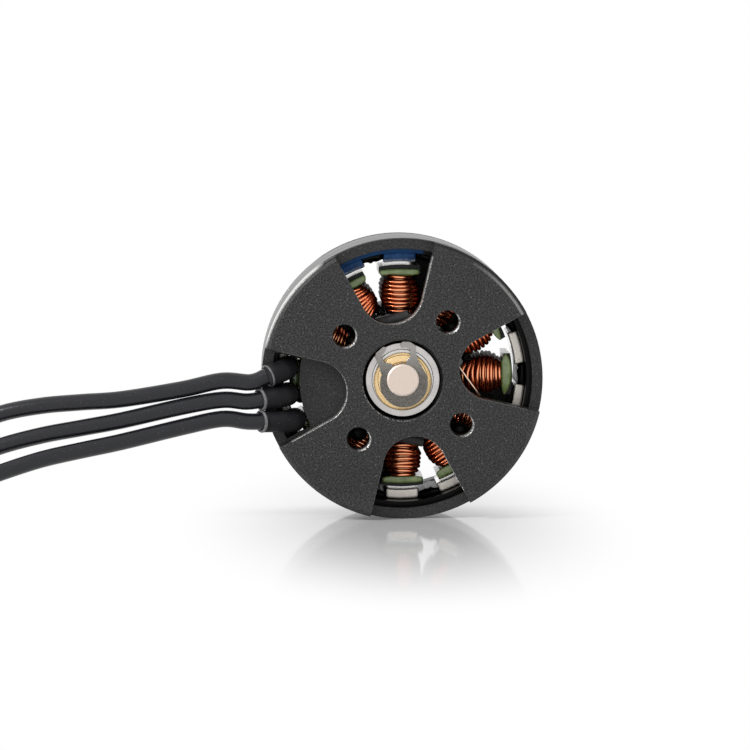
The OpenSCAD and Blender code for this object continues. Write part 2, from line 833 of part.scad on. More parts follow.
module cap_body() {
    lip_r = flux_inner_r - press_gap;
    rim_bottom = flux_stop;
    arc_steps = 8;
    rotate_extrude() polygon(concat(
        [
            [shaft_r + press_gap, hub_start], [hub_neck_r, hub_start],
            [hub_neck_r, cap_inside], [lip_r - cap_lip_t - cap_corner / 4, cap_inside],
            [lip_r - cap_lip_t, cap_inside - cap_corner / 2],
            [lip_r - cap_lip_t, rim_bottom - cap_lip_l], [lip_r, rim_bottom - cap_lip_l],
            [lip_r, rim_bottom], [bell_r, rim_bottom]
        ],
        [for (k = [0 : arc_steps])
            [bell_r - cap_corner * (1 - cos(90 * k / arc_steps)),
                cap_outside - cap_corner * (1 - sin(90 * k / arc_steps))]],
        [
            [hub_r, cap_outside], [hub_r, hub_face - hub_chamfer],
            [hub_r - hub_chamfer, hub_face], [shaft_r + press_gap, hub_face]
        ]
    ));
}

module spoke_outline() {
    polygon([
        [0, -spoke_w_hub / 2], [hub_r, -spoke_w_hub / 2], [bell_r, -spoke_w_rim / 2],
        [bell_r, spoke_w_rim / 2], [hub_r, spoke_w_hub / 2], [0, spoke_w_hub / 2]
    ]);
}

// The openings between the spokes have round corners.
module cap_windows() {
    offset(r = window_corner, $fn = 32) offset(delta = -window_corner) difference() {
        circle(r = bell_r - cap_ring_w);
        circle(r = hub_r + hub_web_gap);
        for (k = [0 : spoke_count - 1]) turned(spoke_turn + 360 / spoke_count * k)
            spoke_outline();
    }
}

module bell_cap() {
    half_spoke = 180 / spoke_count;
    color([0.24, 0.245, 0.25]) in_place() difference() {
        cap_body();
        translate([0, 0, hub_start]) linear_extrude(cap_outside - hub_start + over) cap_windows();
        for (k = [0 : prop_bolt_count - 1])
            turned(spoke_turn + half_spoke + 360 / prop_bolt_count * k)
                translate([hub_r - prop_bolt_edge, 0, cap_inside - over])
                    cylinder(d = prop_bolt_d, h = hub_face - cap_inside + 2 * over);
    }
}

// Leads

lead_window_angle = pattern_turn + 90 * lead_window;
sleeve_r = sleeve_d / 2;

function plan_point(angle, distance) = [distance * cos(angle), distance * sin(angle)];
function in_space(plan, depth) = [plan[0], depth, plan[1]];

function sleeve_plan(i) = plan_point(lead_window_angle + sleeve_pitch * (i - 1), sleeve_path_r);
function sleeve_heading(i) = plan_point(sleeve_headings[i], 1);

// The sleeve comes straight from behind the plate, turns in the slot and lies over the rim.
function sleeve_path(i) =
    let (
        at = sleeve_plan(i),
        way = sleeve_heading(i),
        out_depth = pocket_depth - sleeve_r - sleeve_clear,
        bend_depth = out_depth + sleeve_bend,
        steps = sleeve_bend_steps
    )
    concat(
        [in_space(at, plate_t + sleeve_rear), in_space(at, bend_depth)],
        [for (k = [1 : steps])
            let (a = 90 * k / steps)
            in_space(at + way * sleeve_bend * (1 - cos(a)), bend_depth - sleeve_bend * sin(a))],
        [in_space(at + way * sleeve_reach_shares[i] * sleeve_r, out_depth)]
    );

function sleeve_end(i) = let (path = sleeve_path(i)) path[len(path) - 1];

module lead_sleeve(i) {
    side = cross(in_space(sleeve_heading(i), 0), [0, 1, 0]);
    color([0.15, 0.15, 0.165]) tube_along(sleeve_path(i), sleeve_r, sleeve_sides, side);
}

function cup_place(i) = [lead_ends[i][0] - base_r, lead_ends[i][1], lead_end_height];

// A lead starts square to its sleeve and ends level at its solder cup.
function lead_path(i) =
    let (
        start = sleeve_end(i),
        way = in_space(sleeve_heading(i), 0),
        middles = lead_middles[i],
        drops = lead_drop_shares[i],
        end = cup_place(i)
    )
    concat(
        [start, start + way * lead_d],
        [for (k = [0 : len(middles) - 1])
            [middles[k][0] - base_r, middles[k][1], drops[k] * lead_end_height]],
        [end + [lead_straight, 0, 0], end]
    );

module lead(i) {
    color([0.18, 0.185, 0.2]) tube_along(lead_path(i), lead_d / 2, lead_sides, [0, 1, 0]);
}

function lead_length(i) =
    let (path = lead_path(i))
    [for (k = 0, sum = 0; k < len(path); k = k + 1,
        sum = sum + (k < len(path) ? norm(path[k] - path[k - 1]) : 0)) sum][len(path) - 1];
echo(lead_lengths = [for (i = [0 : 2]) lead_length(i)]);

module at_cup(i) {
    translate(cup_place(i)) rotate([0, -90, 0]) children();
}

module connector(i) {
    slot_l = plug_l * plug_slot_share;
    half = plug_l / 2;
    color([0.85, 0.68, 0.35]) at_cup(i) difference() {
        union() {
            cylinder(d = cup_d, h = cup_l, $fn = 48);
            translate([0, 0, cup_l]) rotate_extrude($fn = 48) polygon([
                [0, 0], [plug_d / 2, 0], [plug_d / 2 + plug_bulge / 2, half],
                [plug_d / 2, plug_l - plug_nose], [plug_d / 2 - plug_nose, plug_l], [0, plug_l]
            ]);
        }
        for (k = [0 : plug_slots / 2 - 1])
            rotate([0, 0, 180 / (plug_slots / 2) * k])
                translate([-cup_d, -plug_slot_w / 2, cup_l + (plug_l - slot_l) / 2])
                    cube([2 * cup_d, plug_slot_w, slot_l / 2]);
    }
}

module cup_sleeve(i) {
    back = cup_sleeve_l * cup_sleeve_back_share;
    color([0.6, 0.1, 0.1]) at_cup(i) translate([0, 0, -back]) difference() {
        cylinder(d = cup_d + 2 * cup_sleeve_t, h = cup_sleeve_l, $fn = 48);
        translate([0, 0, -over])
            cylinder(d = lead_d + 4 * rest_gap, h = back + over - rest_gap, $fn = 48);
        translate([0, 0, back - rest_gap])
            cylinder(d = cup_d + 2 * press_gap, h = cup_sleeve_l, $fn = 48);
    }
}

base_mount();
stator_core();
stator_coating_rear();
stator_coating_front();
winding_core(0);  // winding_core_a
winding_core(1);  // winding_core_b
winding_core(2);  // winding_core_c
winding_turns(0);  // winding_turns_a
winding_turns(1);  // winding_turns_b
winding_turns(2);  // winding_turns_c
joint_sleeve(upper_sleeve_angle, 0);  // joint_sleeve_upper
joint_sleeve(lower_sleeve_angle, lower_sleeve_shift);  // joint_sleeve_lower
bearing_outer_ring(bearing_depth);  // rear_bearing_outer_ring
bearing_inner_ring(bearing_depth);  // rear_bearing_inner_ring
bearing_balls(bearing_depth);  // rear_bearing_balls
bearing_cage(bearing_depth);  // rear_bearing_cage
bearing_shields(bearing_depth);  // rear_bearing_shields
bearing_snap_rings(bearing_depth);  // rear_bearing_snap_rings
bearing_outer_ring(front_bearing_depth);  // front_bearing_outer_ring
bearing_inner_ring(front_bearing_depth);  // front_bearing_inner_ring
bearing_balls(front_bearing_depth);  // front_bearing_balls
bearing_cage(front_bearing_depth);  // front_bearing_cage
bearing_shields(front_bearing_depth);  // front_bearing_shields
bearing_snap_rings(front_bearing_depth);  // front_bearing_snap_rings
shaft();
retaining_clip();
clip_shim();
hub_shim();
flux_ring();
magnets_plain();
magnets_marked();
magnet_filler();
bell_cap();
lead_sleeve(0);  // lead_sleeve_a
lead_sleeve(1);  // lead_sleeve_b
lead_sleeve(2);  // lead_sleeve_c
lead(0);  // lead_a
lead(1);  // lead_b
lead(2);  // lead_c
cup_sleeve(0);  // cup_sleeve_a
cup_sleeve(1);  // cup_sleeve_b
cup_sleeve(2);  // cup_sleeve_c
connector(0);  // connector_a
connector(1);  // connector_b
connector(2);  // connector_c
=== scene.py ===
import json
import math
import random

import bpy
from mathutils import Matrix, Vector


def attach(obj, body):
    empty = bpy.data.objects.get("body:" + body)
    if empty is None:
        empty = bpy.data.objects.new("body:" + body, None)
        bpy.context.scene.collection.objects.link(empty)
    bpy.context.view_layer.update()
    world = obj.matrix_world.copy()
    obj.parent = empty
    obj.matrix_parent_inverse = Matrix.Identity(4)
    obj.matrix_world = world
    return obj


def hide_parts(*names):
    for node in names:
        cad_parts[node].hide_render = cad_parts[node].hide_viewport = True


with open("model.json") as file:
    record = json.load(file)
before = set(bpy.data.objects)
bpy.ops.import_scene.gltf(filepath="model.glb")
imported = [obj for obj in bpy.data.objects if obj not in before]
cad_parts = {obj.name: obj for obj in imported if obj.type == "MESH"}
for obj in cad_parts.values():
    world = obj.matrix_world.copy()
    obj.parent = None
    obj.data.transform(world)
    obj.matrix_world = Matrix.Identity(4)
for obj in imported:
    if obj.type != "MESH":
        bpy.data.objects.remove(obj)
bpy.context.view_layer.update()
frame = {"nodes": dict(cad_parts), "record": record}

nodes = frame["nodes"]
MM = 0.001
DEPTH = Vector((0, 1, 0))


# Camera

LENS_MM = 250.2
CAMERA_AZIMUTH = -1.9
CAMERA_ELEVATION = 5.0
CAMERA_TARGET = (-3.5, 0.0, 0.7)
CAMERA_DISTANCE = 0.65


def point_mm(x, y, z):
    return Vector((x * MM, y * MM, z * MM))


def add_camera():
    data = bpy.data.cameras.new("camera")
    data.sensor_width = 36.0
    data.lens = LENS_MM
    data.clip_start = 0.01
    data.clip_end = 20.0
    cam = bpy.data.objects.new("camera", data)
    bpy.context.scene.collection.objects.link(cam)
    azimuth = math.radians(CAMERA_AZIMUTH)
    elevation = math.radians(CAMERA_ELEVATION)
    away = Vector((
        math.cos(elevation) * math.sin(azimuth),
        -math.cos(elevation) * math.cos(azimuth),
        math.sin(elevation),
    ))
    cam.location = point_mm(*CAMERA_TARGET) + away * CAMERA_DISTANCE
    cam.rotation_euler = (-away).to_track_quat("-Z", "Y").to_euler()
    bpy.context.scene.camera = cam


add_camera()


# Meshes

def new_piece(name, verts, faces, smooth=True):
    mesh = bpy.data.meshes.new(name)
    mesh.from_pydata([tuple(v) for v in verts], [], faces)
    mesh.validate()
    mesh.update()
    if smooth:
        mesh.polygons.foreach_set("use_smooth", [True] * len(mesh.polygons))
    obj = bpy.data.objects.new(name, mesh)
    bpy.context.scene.collection.objects.link(obj)
    return obj


def smooth_path(points, steps):
    """A smooth line through the points, with that many steps between two of them."""
    out = []
    last = len(points) - 1
    for i in range(last):
        p0 = points[max(i - 1, 0)]
        p1, p2 = points[i], points[i + 1]
        p3 = points[min(i + 2, last)]
        for k in range(steps):
            t = k / steps
            a = ((-t + 2) * t - 1) * t
            b = (3 * t - 5) * t * t + 2
            c = ((-3 * t + 4) * t + 1) * t
            d = (t - 1) * t * t
            out.append((p0 * a + p1 * b + p2 * c + p3 * d) * 0.5)
    out.append(points[-1].copy())
    return out


def frames_along(points):
    """Two sides at each point, square to the line, which turn as little as they can."""
    tangents = []
    for i in range(len(points)):
        ahead = points[min(i + 1, len(points) - 1)] - points[max(i - 1, 0)]
        tangents.append(ahead.normalized())
    side = tangents[0].cross(DEPTH)
    if side.length < 0.2:
        side = tangents[0].cross(Vector((0, 0, 1)))
    side.normalize()
    out = []
    for t in tangents:
        side = (side - t * side.dot(t)).normalized()
        out.append((side, t.cross(side)))
    return out


def ring_faces(first, rings, count):
    """Faces between rings of vertices that follow one another, with count in each ring."""
    faces = []
    for i in range(rings - 1):
        for k in range(count):
            a, b = first + i * count + k, first + i * count + (k + 1) % count
            faces.append((a, b, b + count, a + count))
    return faces


def end_faces(first, rings, count):
    """The two faces that close the first and the last ring."""
    last = first + (rings - 1) * count
    return [tuple(first + k for k in reversed(range(count))),
            tuple(last + k for k in range(count))]


def loop_faces(first, rings, count):
    """Faces between rings of vertices, where the last ring joins the first."""
    faces = []
    for i in range(rings):
        here, there = first + i * count, first + ((i + 1) % rings) * count
        for k in range(count):
            after = (k + 1) % count
            faces.append((here + k, here + after, there + after, there + k))
    return faces


def turned_over(faces):
    return [tuple(reversed(face)) for face in faces]


def tube_data(points, radius, sides, first=0, capped=True):
    """Vertices and faces of a tube. radius is a number or a list with one for each point."""
    verts = []
    radii = radius if isinstance(radius, list) else [radius] * len(points)
    for p, (u, v), r in zip(points, frames_along(points), radii):
        for k in range(sides):
            a = 2 * math.pi * k / sides
            verts.append(p + u * (r * math.cos(a)) + v * (r * math.sin(a)))
    faces = ring_faces(first, len(points), sides)
    if capped:
        faces += end_faces(first, len(points), sides)
    return verts, faces


# Materials

class NodeTree:
    """Short ways to add nodes to a tree."""

    def __init__(self, tree, output):
        self.tree = tree
        tree.nodes.clear()
        self.out = self.node(output)

    def node(self, kind):
        return self.tree.nodes.new("ShaderNode" + kind)

    def put(self, socket, value):
        """Links a socket to an input, or writes a constant on the input itself."""
        if isinstance(value, bpy.types.NodeSocket):
            self.tree.links.new(value, socket)
        else:
            socket.default_value = value

    def math(self, kind, a, b=0.0):
        node = self.node("Math")
        node.operation = kind
        self.put(node.inputs[0], a)
        self.put(node.inputs[1], b)
        return node.outputs[0]

    def chain(self, kind, values):
        """One operation over two or more values."""
        out = values[0]
        for value in values[1:]:
            out = self.math(kind, out, value)
        return out

    def times(self, *values):
        return self.chain("MULTIPLY", values)

    def total(self, *values):
        return self.chain("ADD", values)

    def most(self, *values):
        return self.chain("MAXIMUM", values)

    def inverse(self, value):
        return self.math("SUBTRACT", 1.0, value)

    def hypotenuse(self, a, b):
        return self.math("SQRT", self.total(self.times(a, a), self.times(b, b)))

    def span(self, value, low, high, to_low=0.0, to_high=1.0, unit=1.0):
        """Turns low into to_low and high into to_high, with a ramp between them."""
        node = self.node("MapRange")
        for name, v in (("Value", value), ("From Min", low * unit), ("From Max", high * unit),
                        ("To Min", to_low), ("To Max", to_high)):
            self.put(node.inputs[name], v)
        return node.outputs["Result"]

    def dot(self, a, b):
        node = self.node("VectorMath")
        node.operation = "DOT_PRODUCT"
        self.put(node.inputs[0], a)
        self.put(node.inputs[1], b)
        return node.outputs["Value"]

    def axes(self, vector):
        """The X, Y and Z parts of a vector."""
        node = self.node("SeparateXYZ")
        self.put(node.inputs[0], vector)
        return node.outputs[0], node.outputs[1], node.outputs[2]

    def join(self, fac, a, b):
        """A shader between two shaders."""
        node = self.node("MixShader")
        self.put(node.inputs[0], fac)
        self.put(node.inputs[1], a.outputs[0])
        self.put(node.inputs[2], b.outputs[0])
        return node


class Shader(NodeTree):
    """A material with one Principled shader. place is in metres, with the axis along Y."""

    def __init__(self, name):
        self.material = bpy.data.materials.new(name)
        self.material.use_nodes = True
        super().__init__(self.material.node_tree, "OutputMaterial")
        self.main = self.node("BsdfPrincipled")
        self.put(self.out.inputs["Surface"], self.main.outputs["BSDF"])
        coordinates = self.node("TexCoord")
        self.place = coordinates.outputs["Object"]
        self.way = coordinates.outputs["Normal"]

    def set(self, **values):
        for name, value in values.items():
            self.put(self.main.inputs[name.replace("_", " ")], value)

    def noise(self, size_mm, detail=2.0, rough=0.5):
        node = self.node("TexNoise")
        node.inputs["Scale"].default_value = 1.0 / (size_mm * MM)
        node.inputs["Detail"].default_value = detail
        node.inputs["Roughness"].default_value = rough
        self.put(node.inputs["Vector"], self.place)
        return node.outputs["Fac"]

    def cells(self, size_mm):
        node = self.node("TexVoronoi")
        node.inputs["Scale"].default_value = 1.0 / (size_mm * MM)
        self.put(node.inputs["Vector"], self.place)
        return node.outputs["Distance"], node.outputs["Color"]

    def mix(self, fac, a, b):
        node = self.node("Mix")
        node.data_type = "RGBA"
        self.put(node.inputs[0], fac)
        self.put(node.inputs[6], (*a, 1.0) if isinstance(a, tuple) else a)
        self.put(node.inputs[7], (*b, 1.0) if isinstance(b, tuple) else b)
        return node.outputs[2]

    def grained(self, noise, low, high):
        """A colour that a noise moves between two others."""
        return self.mix(self.span(noise, 0.3, 0.7), low, high)

    def bump(self, height, depth_mm, strength=1.0, normal=None):
        node = self.node("Bump")
        node.inputs["Strength"].default_value = strength
        node.inputs["Distance"].default_value = depth_mm * MM
        self.put(node.inputs["Height"], height)
        if normal is not None:
            self.put(node.inputs["Normal"], normal)
        return node.outputs["Normal"]

    def edges(self, radius_mm):
        """The normal of rounded edges, and how far it is turned there."""
        bevel = self.node("Bevel")
        bevel.samples = 6
        bevel.inputs["Radius"].default_value = radius_mm * MM
        normal = bevel.outputs["Normal"]
        true = self.node("NewGeometry").outputs["Normal"]
        return normal, self.span(self.dot(normal, true), 0.999, 0.9)

    def end_face(self):
        """One on faces that look along the motor's axis, zero on the others."""
        return self.span(self.math("ABSOLUTE", self.axes(self.way)[1]), 0.6, 0.85)

    def radius(self):
        """The distance from the motor's axis, in metres."""
        x, _, z = self.axes(self.place)
        return self.hypotenuse(x, z)

    def towards(self, angle):
        """The cosine of the angle between a point's place round the axis and a direction."""
        x, _, z = self.axes(self.place)
        a = math.radians(angle)
        along = self.total(self.times(x, math.cos(a)), self.times(z, math.sin(a)))
        return self.math("DIVIDE", along, self.most(self.radius(), 0.0001))

    def sides_shaded(self, colour):
        """The colour on faces that look at the axis, and painted shade (black) on those that look
        sideways, into the gaps beside the magnets.
        """
        x, _, z = self.axes(self.place)
        way_x, _, way_z = self.axes(self.way)
        along = self.total(self.times(x, way_x), self.times(z, way_z))
        along = self.math("ABSOLUTE", self.math("DIVIDE", along, self.radius()))
        return self.mix(self.span(along, 0.45, 0.6, 1.0, 0.0), colour, (0.004, 0.0035, 0.003))


# The side from which edges get their painted highlights
LIGHT_SIDE = (-0.9, 0.0, 0.42)


def anodised(name):
    """Black anodising with grain. Its edges are partly worn bare and partly painted as highlights;
    painted highlights and painted shade also fall on the chamfer, rim, outer side and pocket.
    """
    s = Shader(name)
    normal, edge = s.edges(0.13)
    grit = s.noise(0.2, 2.0, 0.6)
    speck, _ = s.cells(0.34)
    r = s.radius()
    _, depth, height = s.axes(s.place)
    light = s.total(s.span(grit, 0.32, 0.68, -0.5, 1.5), s.span(speck, 0.0, 0.15, 2.0, 0.0))
    # The last factor makes the face brighter towards the bottom: painted light reflected up from
    # the floor.
    light = s.times(light, s.span(s.noise(2.5, 3.0), 0.3, 0.7, 0.88, 1.1),
                    s.span(height, -17.2, -13.8, 2.6, 1.0, MM))
    colour = s.mix(light, (0.00186, 0.00186, 0.00189), (0.03534, 0.03534, 0.03591))
    dot, pick = s.cells(0.4)
    dots = s.times(s.span(pick, 0.5, 0.56), s.span(dot, 0.1, 0.24, 0.75, 0.0))
    colour = s.mix(dots, colour, (0.13, 0.13, 0.135))
    # Painted shade: the pocket floor is darker than the face.
    colour = s.mix(s.span(depth, 1.8, 2.3, 1.0, 0.72, MM), (0.0, 0.0, 0.0), colour)

    # Worn edges of the windows, holes and pocket, partly real wear and partly painted highlight,
    # and painted highlights on the edges that face the light
    inside = s.times(s.span(r, 15.8, 16.0, 1.0, 0.0, MM), s.span(r, 5.3, 5.4, unit=MM),
                     s.span(depth, 1.5, 2.0, 1.0, 0.0, MM))
    worn = s.times(s.span(edge, 0.35, 1.0, 0.0, 0.7), s.span(grit, 0.3, 0.62, 0.3, 1.0), inside)
    wide, _ = s.edges(0.32)
    lit = s.times(s.span(s.dot(wide, LIGHT_SIDE), 0.25, 0.45), inside,
                  s.span(grit, 0.36, 0.6, 0.1, 1.0))

    # Painted highlight on the plate's outer chamfer and painted shade on its rim at the upper
    # right, and a painted highlight at the mouth of the bearing's seat
    right = s.span(s.towards(118.0), 0.0, 0.01)
    chamfer_highlight = s.times(s.span(r, 16.82, 16.94, unit=MM), s.span(r, 17.16, 17.28, 1.0, 0.0, MM),
                      s.span(s.towards(28.0), 0.84, 0.99, 0.0, 0.75), right,
                      s.span(grit, 0.3, 0.65, 0.45, 1.0))
    rim_shade = s.times(s.span(r, 17.2, 17.3, unit=MM), s.span(s.towards(35.0), 0.6, 0.8, 0.0, 0.9),
                  right)
    colour = s.mix(rim_shade, colour, (0.001, 0.001, 0.001))
    mouth = s.times(s.span(r, 5.02, 5.05, unit=MM), s.span(r, 5.13, 5.18, 1.0, 0.0, MM),
                    s.span(s.towards(225.0), 0.45, 0.75), s.span(grit, 0.45, 0.6))

    # The turned outer side: painted highlight at the upper left, painted shade at the top
    outside = s.times(s.span(r, 17.4, 17.5, unit=MM), s.inverse(s.end_face()))
    side_highlight = s.times(outside, s.span(s.towards(146.0), 0.925, 0.955),
                    s.span(grit, 0.3, 0.6, 0.55, 1.0))
    shaded = s.times(outside, s.math("SUBTRACT", s.span(s.towards(80.0), 0.55, 0.7), side_highlight))
    colour = s.mix(shaded, colour, (0.0015, 0.0015, 0.0015))
    lit = s.most(lit, side_highlight)
    # Worn bare metal together with the painted highlights: grey metal, and near white where lit.
    worn_and_highlit = s.most(worn, lit, chamfer_highlight, mouth)
    s.set(Base_Color=s.mix(worn_and_highlit, colour, s.mix(lit, (0.36, 0.355, 0.35), (0.85, 0.84, 0.82))),
          Metallic=s.times(worn_and_highlit, 0.75), Roughness=s.span(worn_and_highlit, 0.0, 1.0, 0.45, 0.24),
          Specular_IOR_Level=s.span(shaded, 0.0, 1.0, 0.32, 0.06),
          Coat_Weight=s.span(shaded, 0.0, 1.0, 0.15, 0.0), Coat_Roughness=0.3, Coat_IOR=1.35,
          Normal=s.bump(grit, 0.03, 0.7, normal))
    return s.material


def bell_steel(name):
    """The bell's ring: glossy black outside, with marking paint beside two magnets."""
    s = Shader(name)
    normal, _ = s.edges(0.16)
    grit = s.noise(0.2, 2.0, 0.6)
    depth = s.axes(s.place)[1]
    side = s.times(s.span(s.radius(), 17.2, 17.3, unit=MM), s.inverse(s.end_face()))
    line = s.times(s.span(depth, 8.8, 9.2, unit=MM), s.span(depth, 10.2, 10.6, 1.0, 0.0, MM))
    share = s.span(line, 0.0, 1.0, 1.0, 0.5)
    blue = s.mix(s.noise(0.9, 3.0), (0.003, 0.028, 0.105), (0.012, 0.09, 0.25))
    inner = s.mix(s.span(s.towards(101.0), 0.93, 0.94), (0.0015, 0.0012, 0.001), blue)
    coat = s.grained(grit, (0.02, 0.02, 0.0205), (0.046, 0.0455, 0.045))
    coat = s.mix(share, (0.001, 0.001, 0.001), coat)
    sheen = s.times(side, share)
    s.set(Base_Color=s.mix(side, inner, coat), Roughness=s.span(side, 0.0, 1.0, 0.3, 0.34),
          Specular_IOR_Level=s.span(sheen, 0.0, 1.0, 0.12, 0.36),
          Coat_Weight=s.times(sheen, 0.2), Coat_Roughness=0.25,
          Normal=s.bump(s.noise(1.2, 2.0), 0.05, 0.25, normal))
    return s.material


def metal(name, base, rough, grain_mm=0.1, bump_mm=0.002, edge_mm=0.06):
    s = Shader(name)
    normal, edge = s.edges(edge_mm)
    grit = s.noise(grain_mm, 3.0, 0.55)
    low = tuple(c * 0.82 for c in base)
    colour = s.mix(s.span(s.noise(1.7, 2.0), 0.35, 0.7, 0.0, 0.35), s.grained(grit, low, base), low)
    s.set(Base_Color=colour, Metallic=1.0,
          Roughness=s.math("SUBTRACT", s.span(grit, 0.3, 0.7, rough * 0.8, rough * 1.2),
                           s.times(edge, rough * 0.35)),
          Normal=s.bump(grit, bump_mm, 0.6, normal))
    return s.material


def copper(name):
    """Enamelled wire: painted shade (dark red) where it turns away, painted highlights (pale) on
    its crests, and painted shade (near black, without shine) in the slots.
    """
    s = Shader(name)
    colour = s.grained(s.noise(1.3, 2.0, 0.5), (0.85, 0.22, 0.085), (1.0, 0.36, 0.16))
    facing = s.math("ABSOLUTE", s.axes(s.way)[1])
    # Painted shade where the wire turns away from the axis, and a pale painted highlight on its
    # crests.
    ahead = s.span(facing, 0.4, 0.88)
    colour = s.mix(ahead, (0.24, 0.034, 0.012), colour)
    colour = s.mix(s.span(facing, 0.92, 0.995), colour, (1.0, 0.6, 0.36))
    depth = s.axes(s.place)[1]
    # Painted shade: inside the slots the wire is near black and loses its metal shine.
    inside = s.times(s.span(depth, 6.6, 7.5, unit=MM), s.span(depth, 14.5, 15.4, 1.0, 0.0, MM))
    open_air = s.inverse(inside)
    s.set(Base_Color=s.mix(inside, colour, (0.02, 0.006, 0.003)), Metallic=open_air,
          Roughness=s.total(s.span(s.noise(0.5, 2.0), 0.3, 0.7, 0.2, 0.26),
                            s.span(ahead, 0.0, 1.0, 0.24, 0.0)),
          Specular_IOR_Level=s.span(inside, 0.0, 1.0, 0.5, 0.06),
          Specular_Tint=(0.5, 0.2, 0.1, 1.0),
          Coat_Weight=s.times(open_air, s.span(ahead, 0.0, 1.0, 0.1, 0.6)),
          Coat_Roughness=0.12, Coat_Tint=(1.0, 0.62, 0.42, 1.0))
    return s.material


def epoxy_green(name):
    s = Shader(name)
    colour = s.grained(s.noise(1.1, 2.0), (0.15, 0.235, 0.055), (0.32, 0.43, 0.15))
    hub = s.span(s.radius(), 8.4, 8.8, 1.0, 0.0, MM)
    s.set(Base_Color=s.mix(hub, colour, (0.006, 0.009, 0.004)), Roughness=0.34,
          Coat_Weight=1.0, Coat_Roughness=0.06, Normal=s.bump(s.noise(1.1, 1.0), 0.12, 0.5))
    return s.material


SHEET_THICKNESS = 0.2


def laminations(name):
    """Stacked sheets: dark varnished ends, grey sides with a line at each joint, and the shoes'
    outer sides painted white as the light seen through the air gap.
    """
    s = Shader(name)
    depth = s.axes(s.place)[1]
    sheet = s.math("FRACT", s.math("DIVIDE", depth, SHEET_THICKNESS * MM))
    joint = s.span(s.math("ABSOLUTE", s.math("SUBTRACT", sheet, 0.5)), 0.3, 0.5, 1.0, 0.0)
    grit = s.noise(0.15, 3.0)
    face = s.end_face()
    side = s.grained(grit, (0.2, 0.2, 0.2), (0.34, 0.33, 0.32))
    # Painted light: the shoes' outer sides are pure white, standing for the bright air gap.
    side = s.mix(s.span(s.radius(), 13.8, 14.0, unit=MM), side, (1.0, 1.0, 1.0))
    end = s.grained(grit, (0.006, 0.006, 0.006), (0.02, 0.02, 0.018))
    s.set(Base_Color=s.mix(face, side, end), Metallic=s.span(face, 0.0, 1.0, 0.85, 0.0),
          Roughness=s.span(face, 0.0, 1.0, 0.2, 0.5), Specular_IOR_Level=0.3,
          Normal=s.bump(joint, 0.01, 0.3))
    return s.material


def sleeving(name, base, rough, shine=0.2):
    """Matt rubbery skin with dust, and painted highlights on its edges."""
    s = Shader(name)
    normal, edge = s.edges(0.08)
    grit = s.noise(0.16, 2.5, 0.6)
    broad = s.noise(1.4, 2.0)
    colour = s.grained(grit, tuple(c * 0.6 for c in base), tuple(c * 1.35 for c in base))
    dust, _ = s.cells(0.5)
    colour = s.mix(s.span(dust, 0.06, 0.15, 0.55, 0.0), colour, (0.1, 0.1, 0.105))
    # Painted highlight: paler colour on the rounded edges.
    colour = s.mix(s.times(edge, 0.6), colour, (0.07, 0.07, 0.075))
    s.set(Base_Color=colour, Roughness=s.span(broad, 0.3, 0.7, rough * 0.85, rough * 1.1),
          Specular_IOR_Level=shine,
          Normal=s.bump(grit, 0.01, 0.6, s.bump(broad, 0.08, 0.35, normal)))
    return s.material


def magnet_coat(name):
    s = Shader(name)
    grit = s.noise(0.16, 3.0, 0.65)
    face = s.end_face()
    colour = s.grained(grit, (0.66, 0.61, 0.54), (1.0, 0.95, 0.88))
    colour = s.mix(s.span(s.noise(0.9, 2.0), 0.6, 0.78, 0.0, 0.6), colour, (0.4, 0.34, 0.28))
    s.set(Base_Color=s.mix(face, s.sides_shaded((0.9, 0.89, 0.87)), colour),
          Metallic=s.span(face, 0.0, 1.0, 1.0, 0.6), Roughness=s.span(face, 0.0, 1.0, 0.12, 0.36),
          Normal=s.bump(grit, 0.008, 0.5))
    return s.material


def magnet_mark(name):
    """Blue marking paint on a magnet's end, darker towards its inner edge, worn in patches, and
    near white on its inner edges, partly chipped paint and partly painted glints.
    """
    s = Shader(name)
    r = s.radius()
    worn = s.noise(0.35, 4.0, 0.7)
    colour = s.grained(s.noise(0.9, 3.0), (0.006, 0.055, 0.2), (0.02, 0.15, 0.44))
    colour = s.mix(s.span(r, 14.8, 15.3, 0.4, 0.0, MM), colour, (0.003, 0.02, 0.07))
    colour = s.mix(s.span(worn, 0.7, 0.78, 0.0, 0.7), colour, (0.45, 0.5, 0.6))
    # Near-white inner edges: partly paint chipped off, partly painted glints.
    _, edge = s.edges(0.5)
    chips_and_glints = s.times(s.span(edge, 0.25, 0.6), s.span(worn, 0.36, 0.45),
                      s.span(r, 14.7, 14.9, 1.0, 0.0, MM))
    colour = s.mix(chips_and_glints, colour, (1.0, 0.97, 0.88))
    painted = s.span(s.times(s.end_face(), s.span(worn, 0.35, 0.6, 0.8, 1.1)), 0.45, 0.6)
    s.set(Base_Color=s.mix(painted, s.sides_shaded((0.9, 0.89, 0.87)), colour),
          Metallic=s.span(painted, 0.0, 1.0, 1.0, 0.0),
          Roughness=s.span(painted, 0.0, 1.0, 0.14, 0.4), Specular_IOR_Level=0.25,
          Normal=s.bump(worn, 0.02, 0.3))
    return s.material


def black_glue(name):
    s = Shader(name)
    lumps = s.noise(0.8, 3.0, 0.6)
    s.set(Base_Color=s.grained(lumps, (0.001, 0.001, 0.001), (0.004, 0.0035, 0.003)),
          Roughness=0.35, Specular_IOR_Level=0.12, Normal=s.bump(lumps, 0.12, 0.5))
    return s.material


TURNING_PITCH = 0.3


def gold_shield(name):
    """Gold lacquer over fine turning marks."""
    s = Shader(name)
    ring = s.math("SINE", s.times(s.radius(), 2 * math.pi / (TURNING_PITCH * MM)))
    colour = s.grained(s.noise(0.3, 2.0), (0.96, 0.7, 0.38), (1.0, 0.84, 0.53))
    colour = s.mix(s.span(ring, 0.6, 0.95, 0.0, 0.3), colour, (0.3, 0.15, 0.05))
    s.set(Base_Color=colour, Metallic=0.25, Roughness=0.22, Normal=s.bump(ring, 0.003, 0.5),
          Coat_Weight=0.8, Coat_Roughness=0.2, Coat_Tint=(1.0, 0.9, 0.7, 1.0))
    return s.material


